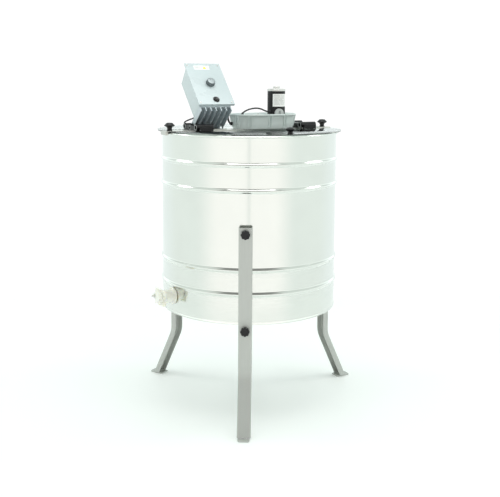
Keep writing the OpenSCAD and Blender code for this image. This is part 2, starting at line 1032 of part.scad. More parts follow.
// Finned plate under the box that also carries it. Its hinge side is shorter,
// and stays above the hinge block.
module heat_sink() {
    fins = 7;
    fin_t = 3;
    fin_h = 16;
    base_t = 5;
    top = -5;
    long_end = -121;
    short_end = -100;
    fin_short = 16;
    tail_w = 52;
    width = box_w;
    color("slategray")
    on_panel()
        translate([box_x - panel_x - width / 2, -0.2, 0]) {
            translate([0, -base_t, short_end])
                cube([width, base_t, top - short_end]);
            translate([width - tail_w, -base_t, long_end])
                cube([tail_w, base_t, top - long_end]);
            for (i = [0 : fins - 1])
                let (x = i * (width - fin_t) / (fins - 1),
                     end = (x < width - tail_w ? short_end : long_end) + fin_short)
                    translate([x, -base_t - fin_h, end])
                        cube([fin_t, fin_h + 1, top - end]);
        }
}

// World [y, z] of a point at height y and depth z in the panel's own frame
function panel_yz(y, z) =
    [panel_edge[0] + y * cos(panel_tilt) - z * sin(panel_tilt),
     panel_edge[1] + y * sin(panel_tilt) + z * cos(panel_tilt)];

// Folded steel stand between the crossbar and the heat sink
module controller_stand() {
    plate_t = 3;
    stand_w = 52;
    stand_x = -158;
    low = bar_top_z + 0.1;
    top = low + plate_t;
    // Depths at which the upright's two faces meet the foot's top
    front = (top - panel_yz(0.05, 0)[1]) / cos(panel_tilt);
    back = (top - panel_yz(plate_t, 0)[1]) / cos(panel_tilt);
    color("gainsboro")
    translate([stand_x, 0, 0])
        rotate([90, 0, 90])
            linear_extrude(stand_w)
                polygon([
                    [-30, low], [41, low], [41, top], panel_yz(plate_t, back),
                    panel_yz(plate_t, -71), panel_yz(0.05, -71), panel_yz(0.05, front), [-30, top]
                ]);
}

module circuit_board() {
    color("seagreen")
    on_panel() {
        translate([-50, 40, -40])
            cube([90, 104, 1.6]);
        translate([-30, 60, -38.5])
            cube([30, 24, 18]);
        translate([20, 110, -38.5])
            cylinder(r = 9, h = 24);
    }
}

module potentiometer() {
    color("silver")
    on_panel()
        translate([knob_pos[0], knob_pos[1], 0])
            union() {
                translate([0, 0, -14])
                    cylinder(r = 8.5, h = 13.8);
                translate([0, 0, -2])
                    cylinder(r = 3, h = 14);
            }
}

module speed_knob() {
    ribs = 24;
    color("darkgray")
    on_panel()
        translate([knob_pos[0], knob_pos[1], panel_t + 0.3])
            difference() {
                union() {
                    cylinder(r = 15.5, h = 9);
                    translate([0, 0, 8.5])
                        cylinder(r = 14, h = 5.5);
                    for (i = [0 : ribs - 1])
                        rotate([0, 0, i * 360 / ribs])
                            translate([15.2, 0, 0.5])
                                cylinder(r = 0.9, h = 8, $fn = 16);
                }
                translate([0, 0, -1])
                    cylinder(r = 3.05, h = 9);
            }
}

module stop_button() {
    color("#18191b")
    on_panel()
        translate([button_pos[0], button_pos[1], 0]) {
            translate([0, 0, -3.5])
                cylinder(r = 9.4, h = panel_t + 8);
            translate([0, 0, panel_t + 4])
                cylinder(r = 8.2, h = 1.5);
            translate([0, 0, -9])
                cylinder(r = 4, h = 7);
        }
}

// ---- Honey gate ----

module gate_spigot() {
    color("ivory")
    on_gate()
        difference() {
            union() {
                rod_x(gate_bore_r + 4, 299, gate_seat_r - 0.1);
                rod_x(29, gate_face_r, gate_face_r + 7);
            }
            rod_x(gate_bore_r, 280, gate_seat_r + 1);
        }
}

// Ring nut inside the drum
module gate_nut() {
    color("ivory")
    on_gate()
        difference() {
            union() {
                rod_x(29, 300, 310);
                for (i = [0 : 7])
                    rotate([i * 45, 0, 0])
                        translate([300, -3, 26])
                            cube([10, 6, 6]);
            }
            rod_x(gate_bore_r + 4.05, 290, 320);
        }
}

module gate_body() {
    color("ivory")
    on_gate()
        difference() {
            union() {
                translate([gate_seat_r, -27, -35])
                    cube([gate_seat_t, 54, 70]);
                rod_x(27.5, gate_seat_r, gate_seat_r + gate_seat_t);
            }
            rod_x(gate_bore_r, gate_seat_r - 1, gate_seat_r + gate_seat_t + 1);
            for (s = [-1, 1])
                translate([0, 0, s * gate_pivot_z])
                    rod_x(gate_bolt_r + 0.05, gate_seat_r - 1, gate_seat_r + gate_seat_t + 1);
        }
}

// The pivot bolt behind the outlet and the clamping bolt in front of it
module gate_bolts() {
    color("silver")
    on_gate() {
        for (s = [-1, 1])
            translate([0, 0, s * gate_pivot_z])
                rod_x(gate_bolt_r, gate_seat_r - 3, gate_seat_r + 24);
        for (s = [-1, 1])
            translate([0, 0, s * gate_pivot_z])
                rod_x(5, gate_seat_r - 3.5, gate_seat_r - 0.2);
        translate([0, 0, gate_pivot_z])
            rod_x(6, gate_seat_r + gate_seat_t + gate_blade_t + 0.6, gate_seat_r + 20);
    }
}

module gate_blade() {
    x0 = gate_seat_r + gate_seat_t + 0.3;
    x1 = x0 + gate_blade_t;
    color("ivory")
    on_gate()
        difference() {
            union() {
                rod_x(24.5, x0, x1);
                translate([0, 0, gate_pivot_z])
                    rod_x(9, x0, x1);
                translate([x0, -9, 0])
                    cube([gate_blade_t, 18, gate_pivot_z]);
                translate([x0, -8, -38])
                    cube([gate_blade_t, 16, 24]);
            }
            translate([0, 0, gate_pivot_z])
                rod_x(gate_bolt_r + 0.06, x0 - 1, x1 + 1);
            translate([x0 - 1, gate_bolt_r + 0.5 - 40, -gate_pivot_z - gate_bolt_r - 0.5])
                cube([gate_blade_t + 2, 40, 2 * gate_bolt_r + 1]);
        }
}

module gate_wing_nut() {
    x0 = gate_seat_r + gate_seat_t + gate_blade_t + 0.6;
    color("ivory")
    on_gate()
        translate([0, 0, -gate_pivot_z])
            difference() {
                union() {
                    rod_x(7.5, x0, x0 + 9);
                    translate([x0 + 2, -17, -2])
                        cube([12, 34, 4]);
                }
                rod_x(gate_bolt_r + 0.06, x0 - 1, x0 + 30);
            }
}

drum_wall();
drum_bottom();
leg_right();
leg_rear();
leg_front();
foot_plates();
leg_brackets();
leg_studs();
leg_knobs();
crossbar();
crossbar_pads();
clamp_blocks();
clamp_bolts();
clamp_knobs();
hinge_blocks();
hinge_pins();
front_lid();
front_lid_leaves();
front_lid_knob();
rear_lid();
rear_lid_leaves();
rear_lid_knob();
lid_fillers();
top_bearing();
bottom_bearing();
basket_shaft();
basket_bottom_frame();
basket_top_frame();
basket_posts();
screen_right();
screen_rear();
screen_left();
screen_front();
large_pulley();
drive_belt();
motor_pulley();
motor_shaft();
motor_armature();
motor_can();
motor_end_cap();
motor_terminal_cover();
drive_housing();
housing_cover();
cover_screws();
motor_cable();
control_cables();
controller_box();
heat_sink();
controller_stand();
control_panel();
circuit_board();
potentiometer();
speed_knob();
stop_button();
gate_spigot();
gate_nut();
gate_body();
gate_bolts();
gate_blade();
gate_wing_nut();
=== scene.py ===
import json
import math
import random

import bmesh
import bpy
from mathutils import Matrix, Vector

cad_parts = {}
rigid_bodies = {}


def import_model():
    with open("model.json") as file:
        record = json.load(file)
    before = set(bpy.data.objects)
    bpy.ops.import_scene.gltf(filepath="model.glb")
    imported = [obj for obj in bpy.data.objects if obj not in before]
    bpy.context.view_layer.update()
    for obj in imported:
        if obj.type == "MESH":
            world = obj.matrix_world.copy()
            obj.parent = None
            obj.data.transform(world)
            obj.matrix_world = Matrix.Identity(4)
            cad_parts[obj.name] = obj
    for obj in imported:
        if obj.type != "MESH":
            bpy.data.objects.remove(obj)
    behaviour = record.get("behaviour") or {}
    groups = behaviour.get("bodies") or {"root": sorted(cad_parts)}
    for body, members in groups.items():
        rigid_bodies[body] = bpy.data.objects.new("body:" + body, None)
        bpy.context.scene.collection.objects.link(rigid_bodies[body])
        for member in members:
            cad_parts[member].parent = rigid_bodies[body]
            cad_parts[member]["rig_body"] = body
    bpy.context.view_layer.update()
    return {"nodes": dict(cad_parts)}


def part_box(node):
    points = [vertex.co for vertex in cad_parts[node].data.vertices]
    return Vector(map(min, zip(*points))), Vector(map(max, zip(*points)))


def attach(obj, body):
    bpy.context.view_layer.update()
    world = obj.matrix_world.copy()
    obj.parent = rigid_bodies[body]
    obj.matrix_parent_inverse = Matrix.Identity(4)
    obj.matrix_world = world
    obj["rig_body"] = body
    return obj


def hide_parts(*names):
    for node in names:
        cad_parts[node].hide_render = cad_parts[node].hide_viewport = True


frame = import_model()
STAND = "stand"

# Shapes are worked out in millimetres, and each mesh is scaled to metres once.
MM = 0.001
Z_AXIS = Vector((0, 0, 1))


def box(node):
    """Lowest and highest corner of a CAD node, in millimetres."""
    return [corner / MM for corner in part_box(node)]


# ---- Driving dimensions, from the frame and the CAD source ----

drum_low, drum_high = box("drum_wall")
SHEET = 1.5
RIM_R = 4.5
RIM_CENTRE = (drum_high.x - RIM_R, drum_high.z - RIM_R)
DRUM_IN = RIM_CENTRE[0] - RIM_R
DRUM_R = DRUM_IN + SHEET
BEAD_OUT = 5.0
BEAD_H = 20.0
BEAD_STEP = 0.8
BEAD_ZS = (457.0, 539.5, 807.0, 893.0)
# Lower edge of the notches that the clamps reach through
NOTCH_Z = drum_high.z - 7

LEG_OUT = DRUM_R + BEAD_OUT + 23
LEG_TOP = box("leg_right")[1].z
LEG_DEPTH = 22.0
LEG_HALF_W = 23.0
LEG_SHEET = 3.0
LEG_BEND_Z = 190.0
LEG_BEND_R = 90.0
LEG_SPLAY = math.radians(25)
LEG_ANGLES = [math.radians(a) for a in (0, 120, 240)]
FOOT_T = box("foot_plates")[1].z
KNOB_ZS = (668.0, 341.0)

BAR_TOP = box("crossbar")[1].z
CLAMP_X = DRUM_R - 1
HINGE_XS = (-204.0, 217.0)
HINGE_Y = 47.0
HINGE_Z = 1007.5
HINGE_BLOCK_H = 17.0
HINGE_CORE_Z = BAR_TOP + HINGE_BLOCK_H / 2

LID_LOW, LID_HIGH = box("front_lid")
LID_R = -LID_LOW.y
LID_EDGE_Y = -LID_HIGH.y
LEAF_T = 13.0

MOTOR_LOW, MOTOR_HIGH = box("motor_can")
MOTOR_X = (MOTOR_LOW.x + MOTOR_HIGH.x) / 2
MOTOR_R = (MOTOR_HIGH.x - MOTOR_LOW.x) / 2
MOTOR_TOP = box("motor_end_cap")[0].z
HOUSING_LOW, HOUSING_HIGH = box("drive_housing")
HOUSING_LIP_R = HOUSING_HIGH.y

PANEL_TILT = math.radians(47.5)
PANEL = Matrix.Translation((-160, -60, 1085)) @ Matrix.Rotation(PANEL_TILT, 4, "X")
PANEL_W = 138.0
PANEL_L = 192.0
PANEL_T = 4.0
KNOB_AT = (3.0, 96.0)
BUTTON_AT = (3.0, 22.0)

GATE_ANGLE = math.radians(185)
GATE_Z = 418.0
GATE = (Matrix.Rotation(GATE_ANGLE, 4, "Z") @ Matrix.Translation((0, 0, GATE_Z))
        @ Matrix.Rotation(math.pi / 2, 4, "X"))
GATE_BORE_R = 19.0
GATE_SEAT_R = 362.0
GATE_BOLT_AT = 29.5

# The angle from which an edge is shaded sharp, in degrees, and the merging distance in metres
SHARP_ANGLE = 35
MERGE_DIST = 1e-6


# ---- Materials ----

def socket(node, name, value):
    node.inputs[name].default_value = value


def map_range(nodes, *limits):
    """A Map Range node; limits are from low, from high, and to low and to high if given."""
    node = nodes.new("ShaderNodeMapRange")
    for name, value in zip(("From Min", "From Max", "To Min", "To Max"), limits):
        socket(node, name, value)
    return node


class Finish:
    """A material with a Principled shader and the noise that varies it.
    Noise reads the mesh's own coordinates, so it moves with the piece."""

    def __init__(self, name, color, roughness, metallic=0.0):
        self.name = name
        self.mat = bpy.data.materials.new(name)
        self.mat.use_nodes = True
        self.nodes = self.mat.node_tree.nodes
        self.links = self.mat.node_tree.links
        self.shader = self.nodes["Principled BSDF"]
        self.color = color
        self.roughness = roughness
        socket(self.shader, "Base Color", (*color, 1))
        socket(self.shader, "Roughness", roughness)
        socket(self.shader, "Metallic", metallic)
        self.coord = self.nodes.new("ShaderNodeTexCoord")
        self.height = None

    def set(self, **values):
        for name, value in values.items():
            socket(self.shader, name.replace("_", " "), value)
        return self

    def noise(self, scale, stretch=(1, 1, 1), detail=3.0, rough=0.55):
        """Noise from 0 to 1, with scale features in a metre, squeezed by stretch."""
        mapping = self.nodes.new("ShaderNodeMapping")
        socket(mapping, "Scale", stretch)
        tex = self.nodes.new("ShaderNodeTexNoise")
        socket(tex, "Scale", scale)
        socket(tex, "Detail", detail)
        socket(tex, "Roughness", rough)
        self.links.new(self.coord.outputs["Object"], mapping.inputs["Vector"])
        self.links.new(mapping.outputs["Vector"], tex.inputs["Vector"])
        return tex.outputs["Fac"]

    def spread(self, source, low, high):
        """source's middle range mapped to low to high."""
        remap = map_range(self.nodes, 0.3, 0.7, low, high)
        self.links.new(source, remap.inputs["Value"])
        return remap.outputs["Result"]

    def vary_color(self, source, dark, light=1.0):
        """The base colour goes from dark times to light times itself."""
        mix = self.nodes.new("ShaderNodeMix")
        mix.data_type = "RGBA"
        socket(mix, "A", (*[c * dark for c in self.color], 1))
        socket(mix, "B", (*[min(1, c * light) for c in self.color], 1))
        self.links.new(self.spread(source, 0, 1), mix.inputs["Factor"])
        self.links.new(mix.outputs["Result"], self.shader.inputs["Base Color"])
        return self

    def vary_roughness(self, source, by):
        self.links.new(self.spread(source, self.roughness - by, self.roughness + by),
                       self.shader.inputs["Roughness"])
        return self

    def bump(self, source, depth_mm, strength=1.0):
        """Adds height to the surface, on top of earlier bumps."""
        bump = self.nodes.new("ShaderNodeBump")
        socket(bump, "Strength", strength)
        socket(bump, "Distance", depth_mm * MM)
        self.links.new(source, bump.inputs["Height"])
        if self.height is not None:
            self.links.new(self.height, bump.inputs["Normal"])
        self.height = bump.outputs["Normal"]
        self.links.new(self.height, self.shader.inputs["Normal"])
        return self


def steel(name, color, roughness, stretch, fine=900, depth=0.004):
    """Sheet or bar with brushing lines; stretch is small along the lines."""
    made = Finish(name, color, roughness, 1.0)
    lines = made.noise(fine, stretch, 5, 0.65)
    stains = made.noise(9, (1, 1, 1), 3)
    return made.vary_roughness(lines, 0.05).vary_color(stains, 0.965).bump(lines, depth, 0.5)


def moulded(name, color, roughness, grain=1400, depth=0.03):
    """Moulded plastic with a fine spark-eroded grain and handled patches."""
    made = Finish(name, color, roughness)
    texture = made.noise(grain, (1, 1, 1), 2)
    handled = made.noise(35, (1, 1, 1), 3)
    return made.vary_roughness(handled, 0.07).vary_color(handled, 0.86, 1.1).bump(texture, depth, 0.6)


def painted(name, color, roughness, peel=420, depth=0.035, coat=0.0):
    """Paint or powder coat with orange peel over metal."""
    made = Finish(name, color, roughness)
    made.set(Coat_Weight=coat, Coat_Roughness=0.12)
    texture = made.noise(peel, (1, 1, 1), 2, 0.4)
    tone = made.noise(14, (1, 1, 1), 4)
    return made.vary_roughness(tone, 0.04).vary_color(tone, 0.95, 1.03).bump(texture, depth, 0.5)


def drum_finish():
    """Polished sheet: fine lines round the drum and a slow waviness."""
    made = steel("drum_steel", (0.80, 0.82, 0.785), 0.13, (0.02, 0.02, 1), 1500, 0.0015)
    return made.bump(made.noise(5.5, (1, 1, 0.6), 1), 0.35, 0.35)


def clear_finish():
    """Clear sheet with a faint green tint and fine scuffs."""
    made = Finish("clear_acrylic", (0.93, 0.98, 0.955), 0.03)
    made.set(Transmission_Weight=1.0, IOR=1.49)
    scuffs = made.noise(160, (1, 1, 1), 6, 0.7)
    return made.vary_roughness(scuffs, 0.02)


def ivory_finish():
    """Unfilled plastic that lets a little light through."""
    made = moulded("gate_ivory", (0.90, 0.90, 0.82), 0.38, 900, 0.02)
    return made.set(Subsurface_Weight=0.25, Subsurface_Radius=(0.006, 0.005, 0.003), Subsurface_Scale=1.0)


BLACK = (0.012, 0.012, 0.013)
FINISHES = [
    drum_finish(),
    steel("leg_steel", (0.575, 0.59, 0.565), 0.64, (1, 1, 0.012)),
    steel("brushed_steel", (0.60, 0.60, 0.565), 0.32, (0.012, 1, 1)),
    steel("basket_steel", (0.62, 0.63, 0.62), 0.30, (1, 1, 0.05)),
    steel("bright_steel", (0.72, 0.72, 0.70), 0.24, (1, 1, 1), 700),
    steel("bearing_steel", (0.58, 0.58, 0.58), 0.25, (0.05, 0.05, 1), 1200),
    steel("pulley_aluminium", (0.72, 0.73, 0.74), 0.3, (0.05, 0.05, 1), 1200),
    painted("motor_alloy", (0.66, 0.66, 0.64), 0.42, 650, 0.03).set(Metallic=0.85),
    painted("motor_iron", (0.16, 0.10, 0.05), 0.5).set(Metallic=0.6),
    painted("heat_sink_grey", (0.52, 0.59, 0.62), 0.4, 800, 0.02).set(Metallic=0.35),
    moulded("knob_black", BLACK, 0.34, 1500, 0.02).set(Specular_IOR_Level=0.35),
    moulded("hinge_black", BLACK, 0.34).set(Specular_IOR_Level=0.35),
    # Lighter grey for the rings on the hinge blocks' ends: a painted highlight
    painted("cut_metal", (0.42, 0.44, 0.44), 0.45, 700, 0.03).set(Metallic=0.5),
    moulded("black_rubber", (0.02, 0.02, 0.02), 0.7),
    moulded("cable_black", BLACK, 0.42, 500, 0.02),
    moulded("button_black", (0.006, 0.006, 0.007), 0.2, 600, 0.005),
    moulded("white_plastic", (0.50, 0.52, 0.51), 0.4),
    painted("board_green", (0.03, 0.18, 0.08), 0.35),
    moulded("dial_grey", (0.14, 0.165, 0.175), 0.38).set(Metallic=0.3),
    steel("dial_cap", (0.36, 0.40, 0.41), 0.46, (1, 1, 1), 500),
    painted("cast_grey", (0.74, 0.82, 0.80), 0.38, 520, 0.06, 0.25),
    painted("cover_grey", (0.50, 0.57, 0.57), 0.42, 520, 0.06, 0.2),
    painted("motor_black", (0.008, 0.008, 0.009), 0.5, 500, 0.02).set(Specular_IOR_Level=0.3),
    painted("controller_grey", (0.50, 0.585, 0.60), 0.3, 460, 0.03, 0.8),
    painted("label_white", (0.86, 0.87, 0.85), 0.5, 900, 0.01),
    painted("label_grey", (0.38, 0.40, 0.40), 0.5, 900, 0.01),
    painted("label_yellow", (0.80, 0.66, 0.03), 0.5, 900, 0.01),
    clear_finish(),
    ivory_finish(),
]
MATS = {made.name: made.mat for made in FINISHES}


# ---- Outlines ----

def rect(x0, y0, x1, y1):
    """The corners of a rectangle."""
    return [(x0, y0), (x1, y0), (x1, y1), (x0, y1)]


def arc(cx, cy, r, a, b, n):
    """n + 1 points on a circle from angle a to angle b, in degrees."""
    angles = [math.radians(a + (b - a) * i / n) for i in range(n + 1)]
    return [(cx + r * math.cos(t), cy + r * math.sin(t)) for t in angles]


def rounded(points, radius, steps=4, closed=True):
    """The outline with its corners rounded; radius is one number or one for each corner."""
    count = len(points)
    radii = radius if isinstance(radius, (list, tuple)) else [radius] * count
    out = []
    for i, point in enumerate(points):
        here = Vector(point)
        if radii[i] <= 0 or (not closed and i in (0, count - 1)):
            out.append(tuple(here))
            continue
        back = Vector(points[i - 1]) - here
        ahead = Vector(points[(i + 1) % count]) - here
        angle = back.angle(ahead)
        if angle > math.radians(178):
            out.append(tuple(here))
            continue
        cut = min(radii[i] / math.tan(angle / 2), back.length * 0.49, ahead.length * 0.49)
        start = here + back.normalized() * cut
        end = here + ahead.normalized() * cut
        for k in range(steps + 1):
            t = k / steps
            out.append(tuple(start * (1 - t) ** 2 + here * 2 * t * (1 - t) + end * t ** 2))
    return out


def slot_outline(r, length, n=32):
    """A loop round two circles of radius r, with centres at 0 and at length."""
    return arc(length, 0, r, -90, 90, n) + arc(0, 0, r, 90, 270, n)


# ---- Meshes ----

def make(name, verts, faces, mats, transform=None, smooth=SHARP_ANGLE, owner=None):
    """A mesh object from points in millimetres. mats is one slot name or several,
    and owner gives the material index of each face."""
    mesh = bpy.data.meshes.new(name)
    turn = transform or Matrix.Identity(4)
    mesh.from_pydata([(turn @ Vector(v)) * MM for v in verts], [], faces)
    names = [mats] if isinstance(mats, str) else mats
    for slot_name in names:
        mesh.materials.append(MATS[slot_name])
    if owner:
        mesh.polygons.foreach_set("material_index", owner)
    bm = bmesh.new()
    bm.from_mesh(mesh)
    bmesh.ops.remove_doubles(bm, verts=bm.verts, dist=MERGE_DIST)
    bmesh.ops.dissolve_degenerate(bm, edges=bm.edges, dist=1e-7)
    bmesh.ops.recalc_face_normals(bm, faces=bm.faces)
    bm.to_mesh(mesh)
    bm.free()
    mesh.shade_smooth()
    mesh.set_sharp_from_angle(angle=math.radians(smooth))
    obj = bpy.data.objects.new(name, mesh)
    bpy.context.scene.collection.objects.link(obj)
    return obj


class Pile:
    """Collects several solids, in millimetres, for one object."""

    def __init__(self):
        self.verts = []
        self.faces = []
        self.owner = []

    def add(self, verts, faces, transform=None, material=0):
        base = len(self.verts)
        turn = transform or Matrix.Identity(4)
        self.verts += [turn @ Vector(v) for v in verts]
        self.faces += [[base + i for i in face] for face in faces]
        self.owner += [material] * len(faces)
        return self

    def make(self, name, mats, smooth=SHARP_ANGLE):
        return make(name, self.verts, self.faces, mats, None, smooth, self.owner)


def loft(rings, caps=True, wrap=False):
    """Skin over rings of the same number of points; wrap joins the last to the first."""
    n = len(rings[0])
    verts = [p for ring in rings for p in ring]
    rows = len(rings) if wrap else len(rings) - 1
    faces = []
    for i in range(rows):
        a = i * n
        b = ((i + 1) % len(rings)) * n
        faces += [[a + k, a + (k + 1) % n, b + (k + 1) % n, b + k] for k in range(n)]
    if caps and not wrap:
        faces.append(list(range(n))[::-1])
        faces.append([(len(rings) - 1) * n + k for k in range(n)])
    return verts, faces


def turned(radii, z):
    """A ring round Z at one height, with a radius for each step round it."""
    turns = [2 * math.pi * k / len(radii) for k in range(len(radii))]
    return [(r * math.cos(t), r * math.sin(t), z) for r, t in zip(radii, turns)]


def lathe(profile, segments=96, loop=True):
    """Turns (radius, height) points round Z. An open profile starts and ends on the axis."""
    return loft([turned([r] * segments, z) for r, z in profile], caps=False, wrap=loop)


def plate(outline, z0, z1, edge=0.6):
    """An extruded outline with eased edges."""
    def ring(z, inset):
        return [(*p, z) for p in inset_outline(outline, inset)]
    return loft([ring(z0, edge), ring(z0 + edge * 0.3, edge * 0.3), ring(z0 + edge, 0),
                 ring(z1 - edge, 0), ring(z1 - edge * 0.3, edge * 0.3), ring(z1, edge)])


def inset_outline(outline, inset):
    """Each point moved inwards along the mean of its two edges' normals."""
    if inset == 0:
        return outline
    area = sum(a[0] * b[1] - b[0] * a[1] for a, b in zip(outline, outline[1:] + outline[:1]))
    side = inset if area > 0 else -inset
    out = []
    for i, point in enumerate(outline):
        back = (Vector(point) - Vector(outline[i - 1])).normalized()
        ahead = (Vector(outline[(i + 1) % len(outline)]) - Vector(point)).normalized()
        normal = Vector((-back.y - ahead.y, back.x + ahead.x))
        length = normal.length
        if length < 1e-9:
            out.append(point)
            continue
        shift = side * min(2 / length, 2.5)
        out.append((point[0] + normal.x / length * shift, point[1] + normal.y / length * shift))
    return out


def smooth_path(points, per_span=6):
    """A Catmull-Rom curve through the points."""
    pts = [Vector(p) for p in points]
    ends = [2 * pts[0] - pts[1], *pts, 2 * pts[-1] - pts[-2]]
    out = []
    for a, b, c, d in zip(ends, ends[1:], ends[2:], ends[3:]):
        for k in range(per_span):
            t = k / per_span
            out.append(0.5 * (2 * b + (c - a) * t + (2 * a - 5 * b + 4 * c - d) * t ** 2
                              + (3 * b - a - 3 * c + d) * t ** 3))
    return out + [pts[-1]]


def tube(path, radius, sides=14):
    """A round tube along a path, without twist; radius is a number or one for each point."""
    radii = radius if isinstance(radius, list) else [radius] * len(path)
    rings = []
    side = None
    for i, point in enumerate(path):
        along = (path[min(i + 1, len(path) - 1)] - path[max(i - 1, 0)]).normalized()
        if side is None:
            side = along.orthogonal().normalized()
        side = (side - along * side.dot(along)).normalized()
        up = along.cross(side)
        turns = [2 * math.pi * k / sides for k in range(sides)]
        rings.append([point + (side * math.cos(t) + up * math.sin(t)) * radii[i] for t in turns])
    return loft(rings)


def cut(obj, cutters):
    """Takes the cutters, each (verts, faces, transform), out of obj."""
    for verts, faces, transform in cutters:
        tool = make("cutter", verts, faces, "bright_steel", transform)
        modifier = obj.modifiers.new("cut", "BOOLEAN")
        modifier.operation = "DIFFERENCE"
        modifier.solver = "EXACT"
        modifier.object = tool
        apply_modifiers(obj)
        bpy.data.objects.remove(tool)
    while len(obj.data.materials) > 1:
        obj.data.materials.pop()
    obj.data.set_sharp_from_angle(angle=math.radians(SHARP_ANGLE))


def apply_modifiers(obj):
    depsgraph = bpy.context.evaluated_depsgraph_get()
    mesh = bpy.data.meshes.new_from_object(obj.evaluated_get(depsgraph))
    obj.modifiers.clear()
    obj.data = mesh


def piece(obj, body, slot, *nodes):
    """Rides obj on a body and hides the CAD nodes that it stands for; slot is not used."""
    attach(obj, body)
    if nodes:
        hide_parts(*nodes)
    return obj


def show(pile, node, slot, smooth=SHARP_ANGLE, body=STAND):
    """Makes a pile into the piece that stands for a CAD node."""
    piece(pile.make("show_" + node, slot, smooth), body, slot, node)


def dress(node, slot, edge):
    """A copy of a CAD node with its flat faces merged and its sharp edges eased."""
    merge_dist = 2e-6
    flat, sharp, eased = [math.radians(a) for a in (0.6, 32, 40)]
    source = frame["nodes"][node]
    mesh = source.data.copy()
    mesh.materials.clear()
    mesh.materials.append(MATS[slot])
    bm = bmesh.new()
    bm.from_mesh(mesh)
    bmesh.ops.remove_doubles(bm, verts=bm.verts, dist=merge_dist)
    bmesh.ops.dissolve_limit(bm, angle_limit=flat, verts=bm.verts, edges=bm.edges)
    bmesh.ops.recalc_face_normals(bm, faces=bm.faces)
    for face in bm.faces:
        face.material_index = 0
    bm.to_mesh(mesh)
    bm.free()
    for layer in ("custom_normal", "sharp_face"):
        if layer in mesh.attributes:
            mesh.attributes.remove(mesh.attributes[layer])
    mesh.shade_smooth()
    mesh.set_sharp_from_angle(angle=sharp)
    obj = bpy.data.objects.new("show_" + node, mesh)
    bpy.context.scene.collection.objects.link(obj)
    bevel = obj.modifiers.new("ease", "BEVEL")
    bevel.width = edge * MM
    bevel.segments = 3
    bevel.limit_method = "ANGLE"
    bevel.angle_limit = eased
    bevel.harden_normals = True
    return piece(obj, source["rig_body"], slot, node)


def at(x, y, z, along_x=False):
    """A frame at a point, with its Z turned to lie along +X if asked."""
    turn = Matrix.Rotation(math.pi / 2, 4, "Y") if along_x else Matrix.Identity(4)
    return Matrix.Translation((x, y, z)) @ turn


def leg_frame(angle, z):
    """A frame on a leg's outer face, whose Z points away from the drum."""
    return Matrix.Rotation(angle, 4, "Z") @ at(LEG_OUT, 0, z, True)


def hex_screw(radius, height, socket_r):
    """A button-headed screw with a hexagon socket, standing on z = 0."""
    segments, sector = 36, math.pi / 3
    hexagon = [math.cos(sector / 2) / math.cos((2 * math.pi * k / segments) % sector - sector / 2)
               for k in range(segments)]
    levels = [(radius * 0.8, 0, 0), (radius, 0.15 * height, 0), (radius * 0.97, 0.45 * height, 0),
              (radius * 0.85, 0.78 * height, 0), (radius * 0.62, height, 0), (socket_r * 1.06, height, 1),
              (socket_r, height * 0.93, 1), (socket_r, height * 0.45, 1)]
    return loft([turned([r * scale for scale in (hexagon if six else [1] * segments)], z)
                 for r, z, six in levels])


# ---- Drum ----

def bead_shape(r, low, high):
    """(radius, height) points of a wall with its beads as smooth swellings."""
    points = []
    z = low
    while z < high:
        near = min(BEAD_ZS, key=lambda zc: abs(zc - z))
        inside = abs(z - near) <= BEAD_H / 2 + 1e-6
        swell = BEAD_OUT * math.cos(math.pi * (z - near) / BEAD_H) ** 2 if inside else 0
        points.append((r + swell, z))
        if inside:
            z += BEAD_STEP
        else:
            ahead = [zc - BEAD_H / 2 for zc in BEAD_ZS if zc - BEAD_H / 2 > z + 1e-6]
            z = min([z + 40, high, *ahead])
    return points + [(r, high)]


def drum_wall():
    lip_z = RIM_CENTRE[1] - math.sqrt(RIM_R ** 2 - (RIM_CENTRE[0] - DRUM_R) ** 2)
    hem = [(DRUM_R + 0.3, drum_low.z), (DRUM_R + 1, drum_low.z + 0.7), (DRUM_R + 1, drum_low.z + 5.5),
           (DRUM_R, drum_low.z + 7)]
    lip_angle = math.degrees(math.acos((RIM_CENTRE[0] - DRUM_R) / RIM_R))
    rim = arc(*RIM_CENTRE, RIM_R, 180 + lip_angle, 540, 26)
    profile = (hem + bead_shape(DRUM_R, drum_low.z + 9, lip_z - 0.5) + rim
               + bead_shape(DRUM_IN, drum_low.z, RIM_CENTRE[1] - 4)[::-1])
    obj = make("drum_shell", *lathe(profile, 300), "drum_steel")
    notch = loft([[(*p, z) for p in rect(DRUM_R - 20, -9, DRUM_R + 20, 9)] for z in (NOTCH_Z, 1010)])
    bore = lathe(rect(0, 0, GATE_BORE_R + 4.2, 40), 48, False)
    cut(obj, [(*notch, None), (*notch, Matrix.Rotation(math.pi, 4, "Z")),
              (*bore, GATE @ at(DRUM_IN - 15, 0, 0, True))])
    piece(obj, STAND, "drum_steel", "drum_wall")


def drum_seam():
    """The sheet's long weld, on the side away from the control panel, ground nearly flush."""
    wall = bead_shape(DRUM_R, drum_low.z + 9, RIM_CENTRE[1] - 6)
    dense = []
    for (r0, z0), (r1, z1) in zip(wall, wall[1:]):
        steps = max(1, round((z1 - z0) / 2.2))
        dense += [(r0 + (r1 - r0) * k / steps, z0 + (z1 - z0) * k / steps) for k in range(steps)]
    seam_angle = math.radians(62)
    random.seed(4)
    across = [(-2.6, -0.3), (-1.5, 0.25), (0, 0.5), (1.5, 0.25), (2.6, -0.3), (0, -0.6)]
    rings = []
    for r, z in dense:
        ripple = random.uniform(0.85, 1.1)
        rings.append([(r + out * ripple, side, z) for side, out in across])
    obj = make("drum_seam", *loft(rings), "bearing_steel", Matrix.Rotation(seam_angle, 4, "Z"), 80)
    piece(obj, STAND, "drum_steel")


# ---- Legs ----

